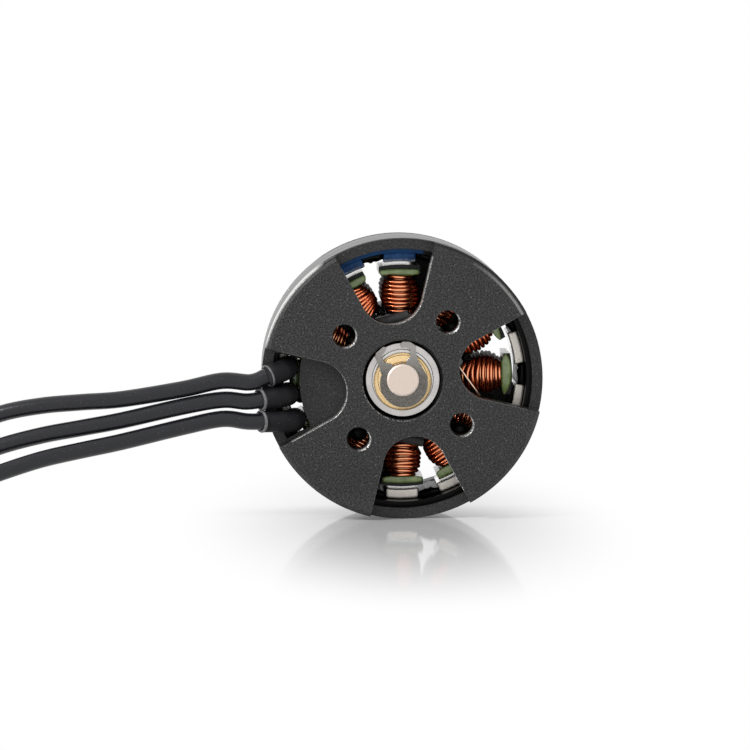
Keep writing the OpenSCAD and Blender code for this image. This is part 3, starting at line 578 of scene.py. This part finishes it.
def ring_face(name):
    """The bearing's outer ring: ground face, and painted shade (black) on its corner, less dark on
    the outer part at the right.
    """
    s = Shader(name)
    r = s.radius()
    grit = s.noise(0.2, 3.0, 0.55)
    colour = s.grained(grit, (0.54, 0.52, 0.505), (0.68, 0.66, 0.64))
    colour = s.mix(s.span(s.noise(1.7, 2.0), 0.4, 0.65, 0.0, 0.4), colour, (0.42, 0.4, 0.38))
    # Painted shade: the corner is black, without shine.
    corner = s.span(r, 4.55, 4.61, unit=MM)
    colour = s.mix(corner, colour, (0.0015, 0.0015, 0.0015))
    bright = s.inverse(corner)
    # Painted light: at the right the outer part of the shaded corner is lighter.
    mouth = s.times(s.span(r, 4.74, 4.79, unit=MM), s.span(s.towards(12.0), 0.6, 0.85))
    s.set(Base_Color=s.mix(mouth, colour, (0.05, 0.05, 0.05)), Metallic=bright,
          Roughness=s.span(bright, 0.0, 1.0, 0.7, 0.3),
          Specular_IOR_Level=s.span(bright, 0.0, 1.0, 0.0, 0.5), Normal=s.bump(grit, 0.003, 0.6))
    return s.material


def clip_face(name):
    """Spring steel with spots, with painted light towards its top and painted highlights on its
    edges.
    """
    s = Shader(name)
    normal, edge = s.edges(0.1)
    grit = s.noise(0.17, 3.0, 0.7)
    spots = s.noise(0.3, 3.0, 0.65)
    height = s.axes(s.place)[2]
    colour = s.grained(grit, (0.07, 0.065, 0.06), (0.23, 0.218, 0.2))
    colour = s.mix(s.span(spots, 0.58, 0.72, 0.0, 0.6), colour, (0.1, 0.09, 0.085))
    # Painted light: paler towards the top.
    colour = s.mix(s.span(height, 0.5, 4.0, 0.0, 0.75, MM), colour, (0.43, 0.415, 0.395))
    # Painted highlight: paler edges.
    s.set(Base_Color=s.mix(edge, colour, (0.42, 0.41, 0.4)), Metallic=1.0,
          Roughness=s.span(edge, 0.0, 1.0, 0.42, 0.25), Normal=s.bump(grit, 0.012, 0.6, normal))
    return s.material


def shaft_face(name):
    s = Shader(name)
    normal, edge = s.edges(0.05)
    colour = s.grained(s.noise(0.1, 2.0), (0.7, 0.59, 0.515), (0.74, 0.63, 0.555))
    # Painted highlight: near-white rounded edges.
    s.set(Base_Color=s.mix(edge, colour, (0.9, 0.88, 0.86)), Metallic=0.95, Roughness=0.5,
          Normal=normal)
    return s.material


# Painted highlight: the lip is lighter grey than the sleeve, for the light on its rolled edge.
def sleeve_lip_highlit(name):
    s = Shader(name)
    grit = s.noise(0.15, 2.0)
    s.set(Base_Color=s.grained(grit, (0.05, 0.05, 0.053), (0.17, 0.17, 0.175)), Roughness=0.55,
          Normal=s.bump(grit, 0.01, 0.5))
    return s.material


# Painted highlight: the crossing wire's copper runs to near white.
def highlit_wire(name):
    s = Shader(name)
    s.set(Base_Color=s.mix(s.noise(0.6, 2.0), (1.0, 0.6, 0.4), (1.0, 0.86, 0.72)),
          Metallic=1.0, Roughness=0.3)
    return s.material


# Each entry: the function that makes the material, and its values after the name
MATERIALS = {
    "anodised_aluminium": (anodised,),
    "flux_steel": (bell_steel,),
    "lamination_steel": (laminations,),
    "green_epoxy": (epoxy_green,),
    "enamelled_copper": (copper,),
    "grey_sleeving": (sleeving, (0.0045, 0.0045, 0.0058), 0.6),
    "bearing_steel": (metal, (0.75, 0.74, 0.72), 0.3, 0.2, 0.003, 0.05),
    "bearing_cage": (metal, (0.55, 0.47, 0.3), 0.3),
    "gold_shield": (gold_shield,),
    "shaft_steel": (shaft_face,),
    "clip_steel": (clip_face,),
    "ground_ring": (ring_face,),
    "brass_shim": (metal, (0.95, 0.7, 0.37), 0.32, 0.3, 0.002),
    "magnet_coat": (magnet_coat,),
    "magnet_mark": (magnet_mark,),
    "black_glue": (black_glue,),
    # A lit copy of the grey sleeving: the joint sleeves are painted lighter for the light that
    # falls on them.
    "joint_sleeving": (sleeving, (0.035, 0.034, 0.034), 0.45),
    "silicone_wire": (sleeving, (0.0075, 0.008, 0.0105), 0.27, 0.42),
    "connector_gold": (metal, (0.88, 0.62, 0.26), 0.2),
    "connector_sleeve": (sleeving, (0.02, 0.02, 0.022), 0.55),
}
materials = {name: make(name, *values) for name, (make, *values) in MATERIALS.items()}


def paint(obj, material):
    obj.data.materials.clear()
    obj.data.materials.append(material)


for part in frame["record"]["subparts"]:
    paint(nodes[part["node"]], materials[part["material_slot"]])

# Painted light: the joint sleeves get the lighter copy of the sleeving.
for name in ("joint_sleeve_upper", "joint_sleeve_lower"):
    paint(nodes[name], materials["joint_sleeving"])
paint(nodes["rear_bearing_outer_ring"], materials["ground_ring"])


def finished(obj, body, slot, *replaced):
    """A new piece gets its finish, rides on its body and stands for CAD nodes."""
    paint(obj, materials[slot])
    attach(obj, body)
    if replaced:
        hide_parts(*replaced)
    return obj


# Leads: the routes are those of the CAD source, in millimetres

LEAD_ANGLE = 187.7
SLEEVE_PITCH = 13.3
SLEEVE_PATH_R = 14.4
SLEEVE_R = 1.4
SLEEVE_START = 4.4
SLEEVE_BEND = 1.9
SLEEVE_HEADINGS = (199.5, 188.0, 180.0)
SLEEVE_REACH = (2.07 * SLEEVE_R, 2.29 * SLEEVE_R, 2.79 * SLEEVE_R)
POCKET_DEPTH = 2.4
OUT_DEPTH = POCKET_DEPTH - SLEEVE_R - 0.04
LEAD_D = 2.1
LEAD_SIDES = 20
END_HEIGHT = -15.35
LEAD_STRAIGHT = 5.0
BASE_R = 17.6
LEAD_ENDS = ((-62.5, 6), (-60.5, 1), (-58.5, -4))
LEAD_MIDDLES = (
    ((-5, 1.2), (-10, 1.3), (-17.5, 1.5), (-22.5, 1.8), (-27.5, 2.2), (-32.5, 2.7),
     (-37.5, 3.4), (-42.5, 4.3), (-47.5, 5.1), (-51.5, 5.7), (-55.5, 6)),
    ((-5, 1.1), (-10, 1), (-17.5, 1), (-22.5, 1), (-27.5, 1), (-32.5, 1),
     (-37.5, 1), (-42.5, 1), (-47.5, 1), (-52.5, 1)),
    ((-5, 1), (-10, 0.8), (-17.5, 0.3), (-22.5, -0.2), (-27.5, -0.8), (-32.5, -1.5),
     (-37.5, -2.2), (-42.5, -3), (-48.5, -3.8)),
)
LEAD_DROPS = (
    (0.005, 0.075, 0.155, 0.18, 0.21, 0.275, 0.405, 0.6, 0.795, 0.93, 0.995),
    (0.16, 0.215, 0.325, 0.385, 0.445, 0.53, 0.65, 0.8, 0.94, 0.995),
    (0.315, 0.38, 0.495, 0.56, 0.63, 0.73, 0.845, 0.95, 0.995),
)


def direction(angle):
    return Vector((math.cos(math.radians(angle)), 0.0, math.sin(math.radians(angle))))


def sleeve_route(i):
    at = direction(LEAD_ANGLE + SLEEVE_PITCH * (i - 1)) * SLEEVE_PATH_R
    way = direction(SLEEVE_HEADINGS[i])
    bend_depth = OUT_DEPTH + SLEEVE_BEND
    route = [at + DEPTH * SLEEVE_START, at + DEPTH * bend_depth]
    for k in range(1, 6):
        a = math.radians(18 * k)
        route.append(at + way * SLEEVE_BEND * (1 - math.cos(a))
                     + DEPTH * (bend_depth - SLEEVE_BEND * math.sin(a)))
    route.append(at + way * SLEEVE_REACH[i] + DEPTH * OUT_DEPTH)
    return [p * MM for p in route]


def lead_route(i):
    start = sleeve_route(i)[-1]
    way = direction(SLEEVE_HEADINGS[i])
    end = LEAD_ENDS[i]
    return ([start, start + way * LEAD_D * MM]
            + [point_mm(x - BASE_R, y, drop * END_HEIGHT)
               for (x, y), drop in zip(LEAD_MIDDLES[i], LEAD_DROPS[i])]
            + [point_mm(end[0] - BASE_R + LEAD_STRAIGHT, end[1], END_HEIGHT),
               point_mm(end[0] - BASE_R, end[1], END_HEIGHT)])


for i, phase in enumerate("abc"):
    line = smooth_path(lead_route(i), 6)
    verts, faces = tube_data(line, LEAD_D / 2 * MM, LEAD_SIDES)
    lead = finished(new_piece("lead_wire_" + phase, verts, faces), "stator", "silicone_wire",
                    "lead_" + phase)


# The part of a lead inside its sleeve's mouth: steps along it, and shares of its radius
ROOT_STEPS = (0.7, 0.35, 0.0, -0.5, -1.0, -1.6)
ROOT_SHARES = (0.96, 0.985, 1.006, 1.008, 1.008, 1.0)


def lead_root(i, phase):
    start = sleeve_route(i)[-1]
    way = direction(SLEEVE_HEADINGS[i]) * MM
    line = [start + way * step for step in ROOT_STEPS]
    radii = [LEAD_D / 2 * MM * share for share in ROOT_SHARES]
    verts, faces = tube_data(line, radii, LEAD_SIDES, capped=False)
    return new_piece("lead_root_" + phase, verts, faces)


for i, phase in enumerate("abc"):
    finished(lead_root(i, phase), "stator", "silicone_wire")


# A sleeve's open end: how it slants, how far it goes past the route, and its rolled edge
LIP_TURN = (0.45, 0.5, 0.5)
LIP_OUT = (0.0, 0.6, 0.6)
LIP_BACK = 0.25 * SLEEVE_R
LIP_OUTLINE = ((0.08, -0.02), (0.13, -0.1), (0.12, -0.2), (0.02, -0.28), (-0.4, -0.31))
LIP_THICKNESS = 0.17
SLEEVE_SIDES = 28


def sleeve_line(i):
    """The middle line of a sleeve, and the direction in which it ends."""
    line = smooth_path(sleeve_route(i), 4)
    along = (line[-1] - line[-2]).normalized()
    line[-1] = line[-1] + along * LIP_OUT[i] * MM
    return line, along


def sleeve_piece(i, phase):
    """Shrunk sleeving. Its open end slants towards the mounting face, and has a thick lip."""
    line, along = sleeve_line(i)
    rng = random.Random(40 + i)
    radii = []
    for k in range(len(line)):
        radii.append((SLEEVE_R - 0.03 + 0.02 * math.sin(0.9 * k + i)
                      + rng.uniform(-0.01, 0.01)) * MM)
    radii[0] = SLEEVE_R * MM
    radii[-1] = (SLEEVE_R - 0.01) * MM
    verts, faces = tube_data(line, radii, SLEEVE_SIDES, capped=False)
    end, last, slant = line[-1], (len(line) - 1) * SLEEVE_SIDES, LIP_TURN[i]
    for k in range(SLEEVE_SIDES):
        v = verts[last + k] - end
        verts[last + k] = end + v + along * (v.y * slant - LIP_BACK * MM)
    for forward, inward in LIP_OUTLINE:
        for k in range(SLEEVE_SIDES):
            v = verts[last + k] - end
            flat = v - along * v.dot(along)
            shrunk = flat.normalized() * (flat.length + inward * MM)
            verts.append(end + shrunk + along * (shrunk.y * slant + (forward - LIP_BACK) * MM))
    faces += ring_faces(last, len(LIP_OUTLINE) + 1, SLEEVE_SIDES)
    faces.append(tuple(reversed(range(SLEEVE_SIDES))))
    return new_piece("sleeve_over_lead_" + phase, verts, faces)


def lip_piece(i, phase):
    """The rounded edge at a sleeve's open end, in a lighter grey that is a painted highlight."""
    line, along = sleeve_line(i)
    side = DEPTH.cross(along).normalized()
    other = along.cross(side).normalized()
    ring_r, turns, sides = SLEEVE_R - 0.14, 40, 8
    verts = []
    for k in range(turns):
        a = 2 * math.pi * k / turns
        out = side * math.cos(a) + other * math.sin(a)
        for m in range(sides):
            b = 2 * math.pi * m / sides
            flat = out * ((ring_r + LIP_THICKNESS * math.cos(b)) * MM)
            rise = 0.06 + LIP_THICKNESS * 1.1 * math.sin(b) - LIP_BACK
            verts.append(line[-1] + flat + along * (flat.y * LIP_TURN[i] + rise * MM))
    return new_piece("sleeve_lip_highlit_" + phase, verts, loop_faces(0, turns, sides))


for i, phase in enumerate("abc"):
    finished(sleeve_piece(i, phase), "stator", "grey_sleeving", "lead_sleeve_" + phase)
    lip = finished(lip_piece(i, phase), "stator", "grey_sleeving")
    paint(lip, sleeve_lip_highlit("sleeve_lip_highlit_" + phase))


# Windings

STACK_START, STACK_STOP = 7.0, 15.0
TOOTH_COUNT = 12
TOOTH_PITCH = 360.0 / TOOTH_COUNT
TOOTH_TURN = 0.9
PHASE_TEETH = ((0, 1, 6, 7), (2, 3, 8, 9), (4, 5, 10, 11))
WIRE_R = 0.25
TURNS = 9
# Half widths and end heights of a coil from its inner to its outer turn
WIDTHS = (1.85, 2.2, 2.42, 2.46, 2.4, 2.18, 1.72)
HEIGHTS = (1.5, 1.8, 1.9, 1.9, 1.86, 1.68, 1.3)
# How the turns of some coils lean at their inner and outer ends, and how far they bow
FANS = {4: (0.6, -0.22), 3: (0.06, 0.0), 0: (0.0, 0.0), 9: (0.0, 0.0), 10: (0.1, 0.05),
        1: (-0.1, 0.05)}
BOWS = {0: 0.75, 3: 0.12, 4: 0.1, 9: 0.3}


def at_tooth(angle, radial, tangent, depth):
    """A point given by its distance from the axis, its place across the tooth and its depth."""
    a = math.radians(angle)
    return Vector((
        (radial * math.cos(a) - tangent * math.sin(a)) * MM,
        depth * MM,
        (radial * math.sin(a) + tangent * math.cos(a)) * MM,
    ))


def along_coil(table, share):
    """A value between those of a table, at a share of the coil's length."""
    at = min(max(share, 0.0), 1.0) * (len(table) - 1)
    k = min(int(at), len(table) - 2)
    t = at - k
    t = t * t * (3 - 2 * t)
    return table[k] * (1 - t) + table[k + 1] * t


def loop_shape(half_w, end_h, steps=13):
    """Points of one turn round the tooth, as (tangent, depth), from the middle of one side."""
    mid = (STACK_START + STACK_STOP) / 2
    out = [(-half_w, mid - (mid - STACK_START) * k / 3) for k in range(3)]
    arc = []
    for k in range(steps):
        a = math.pi * k / (steps - 1)
        c, s = math.cos(a), math.sin(a)
        arc.append((half_w * math.copysign(abs(c) ** 0.95, c), end_h * abs(s) ** 0.95))
    out += [(-across, STACK_START - rise) for across, rise in arc]
    out += [(half_w, STACK_START + (STACK_STOP - STACK_START) * k / 6) for k in range(1, 6)]
    out += [(across, STACK_STOP + rise) for across, rise in arc]
    out += [(-half_w, STACK_STOP - (STACK_STOP - mid) * k / 3) for k in range(1, 3)]
    return out


def coil_route(rng, turns, first_x, last_x, inset, fan, bow):
    """A rising line of turns, in the tooth's own place, as (radial, tangent, depth)."""
    pitch = (last_x - first_x) / (turns - 1)
    out = []
    for turn in range(turns):
        share = turn / (turns - 1)
        half_w = along_coil(WIDTHS, share) - WIRE_R - inset + rng.uniform(-0.09, 0.03)
        end_h = along_coil(HEIGHTS, share) - WIRE_R - inset * 0.9 + rng.uniform(-0.06, 0.0)
        lean = fan[0] + (fan[1] - fan[0]) * share + rng.uniform(-0.07, 0.07)
        curve = bow * (1 - share) ** 2
        wander = rng.uniform(-0.08, 0.08)
        shape = loop_shape(half_w, end_h)
        for k, (tangent, depth) in enumerate(shape):
            climb = k / len(shape)
            climb = climb * climb * (3 - 2 * climb)
            front = max(0.0, min(1.0, (STACK_START + 0.6 - depth) / 1.2))
            radial = first_x + pitch * (turn + climb - 0.5) + wander
            radial -= front * (lean * tangent + curve * (1 - (tangent / half_w) ** 2))
            radial = min(max(radial, first_x - 1.4 * abs(fan[0]) - bow - 0.1), last_x + 0.1)
            out.append((radial, tangent, depth))
    return out


def coil_piece(name, teeth):
    verts, faces = [], []
    for tooth in teeth:
        rng = random.Random(100 + tooth)
        fan = FANS.get(tooth, (rng.uniform(-0.1, 0.3), rng.uniform(-0.05, 0.05)))
        bow = BOWS.get(tooth, 0.2)
        layers = (
            (TURNS, 8.52, 12.6, 0.0, fan, bow, 10),
            (TURNS - 1, 8.76, 12.36, 0.36, (fan[0] * 0.5, fan[1]), bow * 0.6, 6),
        )
        for *shape, sides in layers:
            line = [at_tooth(TOOTH_TURN + TOOTH_PITCH * tooth, *p)
                    for p in coil_route(rng, *shape)]
            v, f = tube_data(line, WIRE_R * MM, sides, len(verts))
            verts += v
            faces += f
    return new_piece(name, verts, faces)


for i, phase in enumerate("abc"):
    finished(coil_piece("winding_" + phase, PHASE_TEETH[i]), "stator", "enamelled_copper",
             "winding_core_" + phase, "winding_turns_" + phase)


# Black fill between the coils, and black lumps near the hub

WEB_INNER = 8.25
WEB_OUTER = {1: 10.7, 4: 10.7, 7: 10.7, 10: 10.7}
WEB_RINGS = ((6.3, 0.35), (6.0, 0.9), (6.15, 1.0), (15.85, 1.0), (16.0, 0.9), (15.7, 0.35))
WEB_STEPS = 6
LUMP_DEPTH = 5.05
LUMPS = ((-12.6, -2.3, 0.95), (-6.0, 4.4, 1.1), (6.5, 6.05, 1.2), (7.4, -6.9, 1.2),
         (-5.4, -7.05, 1.1))


def web_data(angle, outer, first):
    """Black fill in the slot between two coils, from the hub outwards."""
    verts = []
    for depth, share in WEB_RINGS:
        for side in (-1, 1):
            for k in range(WEB_STEPS):
                k = k if side < 0 else WEB_STEPS - 1 - k
                r = (WEB_INNER + (outer - WEB_INNER) * k / (WEB_STEPS - 1)
                     * (0.9 + 0.1 * share))
                half = (r * math.tan(math.radians(TOOTH_PITCH / 2)) - 1.95) * share
                verts.append(at_tooth(angle, r, side * half, depth))
    rings, count = len(WEB_RINGS), 2 * WEB_STEPS
    return verts, ring_faces(first, rings, count) + end_faces(first, rings, count)


def lump_data(x, z, wide, first, rng):
    """A rounded black lump."""
    verts = []
    rows, cols = 7, 14
    for i in range(rows + 1):
        a = math.pi * i / rows
        for k in range(cols):
            b = 2 * math.pi * k / cols
            r = wide * (1 + rng.uniform(-0.06, 0.06)) * math.sin(a)
            verts.append(point_mm(x + r * math.cos(b), LUMP_DEPTH - 0.42 * math.cos(a),
                                  z + r * math.sin(b)))
    return verts, [(a, d, c, b) for a, b, c, d in ring_faces(first, rows + 1, cols)]


def black_fill_piece():
    verts, faces = [], []
    for slot in range(TOOTH_COUNT):
        angle = TOOTH_TURN + TOOTH_PITCH / 2 + TOOTH_PITCH * slot
        v, f = web_data(angle, WEB_OUTER.get(slot, 9.1), len(verts))
        verts += v
        faces += f
    rng = random.Random(77)
    for x, z, wide in LUMPS:
        v, f = lump_data(x, z, wide, len(verts), rng)
        verts += v
        faces += f
    return new_piece("coil_black_fill", verts, faces)


finished(black_fill_piece(), "stator", "black_glue")


# The wire that crosses the right coil

CROSSING_R = 0.16
CROSSING = ((7.1, 5.5, 1.55), (7.2, 4.95, 1.3), (8.2, 4.75, -0.13), (9.3, 4.95, -1.65),
            (9.8, 5.5, -2.35), (9.9, 6.3, -2.7))

line = smooth_path([point_mm(*p) for p in CROSSING], 6)
verts, faces = tube_data(line, CROSSING_R * MM, 10)
wire = finished(new_piece("crossing_wire_right", verts, faces), "stator", "enamelled_copper")
paint(wire, highlit_wire("crossing_wire_right"))


# Epoxy beads on the stator's end faces

SHOE_R = 14.05
SHOE_HALF = 2.56
BEAD_HEIGHT = 0.42
BEAD_STEPS, BEAD_ROUND = 36, 12
# By tooth: inner and outer radius, how pointed the ends are, and how far the bead is skewed
BEADS = {
    0: (12.5, 13.98, 0.9, 0.35),
    1: (12.6, 13.9, 0.9, 0.3),
    3: (12.62, 13.5, 0.02, 0.05),
    4: (12.45, 13.5, 0.05, 0.0),
    9: (12.66, 13.6, 0.0, 0.0),
    10: (12.6, 13.9, 0.05, 0.0),
}
# The thin coat over the hub: radius and height above the stack
HUB_COAT = ((6.5, 0.0), (6.5, 0.25), (6.7, 0.35), (7.9, 0.35), (8.15, 0.25), (8.2, 0.0))
HUB_STEPS = 72


def bead_data(rng, angle, face, out, shape, first):
    """A glossy bead on a shoe. Its outer side follows the shoe and its inner side is straight."""
    inner, outer, point, skew = shape
    verts, faces = [], []
    waves = [(rng.uniform(1.5, 4.0), rng.uniform(0, 6.3), rng.uniform(0.02, 0.05))
             for _ in range(3)]
    for i in range(BEAD_STEPS + 1):
        t = -1 + 2 * i / BEAD_STEPS
        end = max(1 - t * t, 0.0)
        full = end ** (0.1 + 0.5 * point)
        tangent = SHOE_HALF * t
        drop = SHOE_R - math.sqrt(SHOE_R ** 2 - tangent ** 2)
        wave = sum(a * math.sin(f * t + p) for f, p, a in waves)
        high = outer - drop * (0.25 if point < 0.1 else 1.0) - 0.06 * (1 - full)
        low = inner + 0.06 * t * t + wave * end
        centre = (high + low) / 2 + skew * t * 0.3
        half = max((high - low) / 2 * full, 0.02)
        height = BEAD_HEIGHT * full * (1 + 1.6 * wave) + 0.02
        for k in range(BEAD_ROUND + 1):
            a = math.pi * k / BEAD_ROUND
            c, s = math.cos(a), math.sin(a)
            radial = centre - half * math.copysign(abs(c) ** 0.8, c)
            verts.append(at_tooth(angle, radial, tangent, face + out * height * s ** 0.4))
    row = BEAD_ROUND + 1
    for i in range(BEAD_STEPS):
        low, high = first + i * row, first + i * row + BEAD_ROUND
        faces += [(a, a + 1, a + row + 1, a + row) for a in range(low, high)]
        faces.append((low, low + row, high + row, high))
    if out > 0:
        faces = turned_over(faces)
    return verts, faces + turned_over(end_faces(first, BEAD_STEPS + 1, row))


def epoxy_piece(name, face, out):
    """A bead on each tooth's shoe, and a thin coat over the hub. out is -1 or 1."""
    verts, faces = [], []
    for tooth in range(TOOTH_COUNT):
        rng = random.Random(300 + tooth + (50 if out > 0 else 0))
        plain = (rng.uniform(12.6, 12.9), rng.uniform(13.7, 13.95), 0.35, 0.0)
        shape = BEADS.get(tooth, plain) if out < 0 else plain
        v, f = bead_data(rng, TOOTH_TURN + TOOTH_PITCH * tooth, face, out, shape, len(verts))
        verts += v
        faces += f
    coat = loop_faces(len(verts), len(HUB_COAT), HUB_STEPS)
    faces += coat if out > 0 else turned_over(coat)
    for radius, rise in HUB_COAT:
        for k in range(HUB_STEPS):
            verts.append(at_tooth(360.0 * k / HUB_STEPS, radius, 0.0, face + out * rise))
    return new_piece(name, verts, faces)


finished(epoxy_piece("epoxy_rear", STACK_START, -1), "stator", "green_epoxy",
         "stator_coating_rear")
finished(epoxy_piece("epoxy_front", STACK_STOP, 1), "stator", "green_epoxy",
         "stator_coating_front")


# Black filler between the magnets

MAGNET_COUNT = 14
FIRST_MAGNET = 13.5
FILLER_INNER, FILLER_OUTER, FILLER_HALF = 14.75, 15.66, 1.42
FILLER_RINGS = ((7.75, 0.72), (7.5, 0.9), (7.38, 1.0), (15.25, 1.0), (15.4, 0.8))
FILLER_STEPS = 9


def filler_piece():
    """Poured filler: it reaches the magnets' sides, and its inner face sags and swells."""
    verts, faces = [], []
    across = [-1 + 2 * k / (FILLER_STEPS - 1) for k in range(FILLER_STEPS)]
    rings, count = len(FILLER_RINGS), 2 * FILLER_STEPS
    for gap in range(MAGNET_COUNT):
        rng = random.Random(500 + gap)
        first = len(verts)
        angle = FIRST_MAGNET + 360.0 / MAGNET_COUNT * (gap + 0.5)
        sag = [rng.uniform(-0.12, 0.1) for _ in across]
        for depth, share in FILLER_RINGS:
            for t, swell in zip(across, sag):
                low = FILLER_INNER + 0.16 * t * t + swell - (1 - share) * 0.3 * (1 - abs(t))
                verts.append(at_tooth(angle, low, FILLER_HALF * t,
                                      depth + (1 - share) * 0.3 * abs(t)))
            for t in reversed(across):
                verts.append(at_tooth(angle, FILLER_OUTER - 0.06 * abs(t), FILLER_HALF * t,
                                      depth))
        faces += ring_faces(first, rings, count) + end_faces(first, rings, count)
    return new_piece("filler_between_magnets", verts, faces)


finished(filler_piece(), "rotor", "black_glue", "magnet_filler")


# Bearing pieces whose thin edges show

BEARING_START = 1.2
BEARING_STOP = BEARING_START + 4.0
ROUND_STEPS = 96
# Radius, and height above the bearing's face
SHIELD_DISH = ((3.84, 0.34), (3.7, 0.3), (3.5, 0.25), (3.34, 0.18), (3.22, 0.13), (3.12, 0.1),
               (3.05, 0.11), (3.04, 0.22), (3.12, 0.26), (3.3, 0.34), (3.5, 0.42), (3.84, 0.47))
# Radius and depth
SHIM_OUTLINE = ((2.06, 0.99), (2.4, 0.97), (2.72, 1.0), (3.02, 1.06), (3.13, 1.12),
                (3.13, 1.17), (2.06, 1.17))


def turned_piece(name, outlines):
    """Rings round the motor's axis from closed outlines of (radius, depth)."""
    verts, faces = [], []
    for outline in outlines:
        faces += loop_faces(len(verts), ROUND_STEPS, len(outline))
        for k in range(ROUND_STEPS):
            a = 2 * math.pi * k / ROUND_STEPS
            for r, depth in outline:
                verts.append(point_mm(r * math.cos(a), depth, r * math.sin(a)))
    return new_piece(name, verts, faces)


def shield_outline(face, inward):
    return [(r, face + inward * rise) for r, rise in SHIELD_DISH]


def snap_ring(face, inward, first):
    """A round wire ring, thin and sunk at the bottom."""
    verts, sides = [], 12
    for k in range(ROUND_STEPS):
        a = 2 * math.pi * k / ROUND_STEPS
        inner = 3.44 + 0.42 * (0.5 - 0.5 * math.sin(a)) ** 1.6 - 0.1 * max(math.sin(a), 0.0)
        half = max((3.85 - inner) / 2, 0.01)
        for m in range(sides):
            b = 2 * math.pi * m / sides
            r = inner + half * (1 + math.cos(b))
            verts.append(point_mm(r * math.cos(a), face + inward * (0.13 + 0.1 * math.sin(b)),
                                  r * math.sin(a)))
    return verts, loop_faces(first, ROUND_STEPS, sides)


shields = turned_piece("rear_bearing_dished_shields", [shield_outline(BEARING_START, 1),
                                                       shield_outline(BEARING_STOP, -1)])
finished(shields, "stator", "gold_shield", "rear_bearing_shields")

verts, faces = snap_ring(BEARING_START, 1, 0)
far_verts, far_faces = snap_ring(BEARING_STOP, -1, len(verts))
rings = new_piece("rear_bearing_round_snap_rings", verts + far_verts, faces + far_faces)
finished(rings, "stator", "bearing_steel", "rear_bearing_snap_rings")

shim = turned_piece("clip_shim_worn", [SHIM_OUTLINE])
finished(shim, "rotor", "brass_shim", "clip_shim")


# Rounded edges on the magnets, whose corners show

MAGNET_ROUNDING = 0.3

for name in ("magnets_plain", "magnets_marked"):
    weld = nodes[name].modifiers.new("weld", "WELD")
    weld.merge_threshold = 0.002 * MM
    flat = nodes[name].modifiers.new("flat", "DECIMATE")
    flat.decimate_type = "DISSOLVE"
    flat.angle_limit = math.radians(2)
    bevel = nodes[name].modifiers.new("bevel", "BEVEL")
    bevel.width = MAGNET_ROUNDING * MM
    bevel.segments = 4
    bevel.limit_method = "ANGLE"
    bevel.angle_limit = math.radians(40)


# Stage

FLOOR_HALF = 3.0
FLOOR_HEIGHT = -BASE_R * MM
# The patch with shadow and mirror: its middle and half sizes, in metres
PATCH_MIDDLE_Y = -0.004
PATCH_X, PATCH_Y = 0.0295, 0.086


def add_floor():
    """A pale floor with a soft mirror near the motor, which fades to plain white."""
    low, high = -FLOOR_HALF, FLOOR_HALF
    floor = new_piece("floor", [(low, low, FLOOR_HEIGHT), (high, low, FLOOR_HEIGHT),
                                (high, high, FLOOR_HEIGHT), (low, high, FLOOR_HEIGHT)],
                      [(0, 1, 2, 3)], False)
    s = Shader("floor")
    x, y, _ = s.axes(s.place)
    reach = s.hypotenuse(s.math("DIVIDE", x, PATCH_X),
                         s.math("DIVIDE", s.math("SUBTRACT", y, PATCH_MIDDLE_Y), PATCH_Y))
    near = s.span(reach, 0.15, 1.0, 1.0, 0.0)
    # The last factor mixes in more plain white glow behind the motor, which lightens the shadow
    # there: painted light.
    near = s.times(near, near, s.math("SUBTRACT", 3.0, s.times(near, 2.0)),
                   s.span(y, 0.0, 18.0, 1.0, 0.5, MM))
    diffuse = s.node("BsdfDiffuse")
    diffuse.inputs["Color"].default_value = (0.62, 0.62, 0.625, 1.0)
    gloss = s.node("BsdfGlossy")
    gloss.inputs["Color"].default_value = (0.95, 0.95, 0.95, 1.0)
    gloss.inputs["Roughness"].default_value = 0.06
    s.put(gloss.inputs["Normal"], s.bump(s.noise(9.0, 2.0), 0.02, 0.15))
    shown = s.join(near, s.node("Emission"), s.join(0.34, diffuse, gloss))
    s.put(s.out.inputs["Surface"], shown.outputs[0])
    floor.data.materials.append(s.material)


add_floor()

KEY_PLACE = Vector((-0.4, -0.24, 0.33))
KEY_TARGET = Vector((0, 0.005, 0))
KEY_SIZE = (0.16, 0.2)
KEY_POWER = 2.2


def add_key_light():
    data = bpy.data.lights.new("key", "AREA")
    data.shape = "RECTANGLE"
    data.size, data.size_y = KEY_SIZE
    data.energy = KEY_POWER
    obj = bpy.data.objects.new("key", data)
    obj.location = KEY_PLACE
    obj.rotation_euler = (KEY_TARGET - KEY_PLACE).to_track_quat("-Z", "Y").to_euler()
    bpy.context.scene.collection.objects.link(obj)


add_key_light()


def add_world():
    """White where it is seen or mirrored. Its light comes softly from the left, front and back."""
    world = bpy.data.worlds.new("studio")
    bpy.context.scene.world = world
    world.use_nodes = True
    s = NodeTree(world.node_tree, "OutputWorld")
    way = s.node("TexCoord").outputs["Generated"]
    broad = s.span(s.dot(way, (-0.6, -0.2, 0.77)), -0.6, 0.9, 0.5, 1.25)
    front = s.math("POWER", s.span(s.dot(way, (-0.2, -0.93, 0.3)), 0.0, 1.0), 3.0)
    back = s.span(s.dot(way, (0.0, 1.0, 0.0)), 0.2, 0.7)
    lobes = s.total(s.times(front, 1.15), s.times(back, 0.7), 0.5)
    seen, lit = s.node("Background"), s.node("Background")
    seen.inputs["Color"].default_value = (1, 1, 1, 1)
    s.put(lit.inputs["Strength"], s.times(broad, lobes))
    rays = s.node("LightPath").outputs
    shown = s.most(rays["Is Camera Ray"], rays["Is Glossy Ray"], rays["Is Transmission Ray"])
    s.put(s.out.inputs["Surface"], s.join(shown, lit, seen).outputs[0])


add_world()
bpy.context.scene.view_settings.view_transform = "Standard"
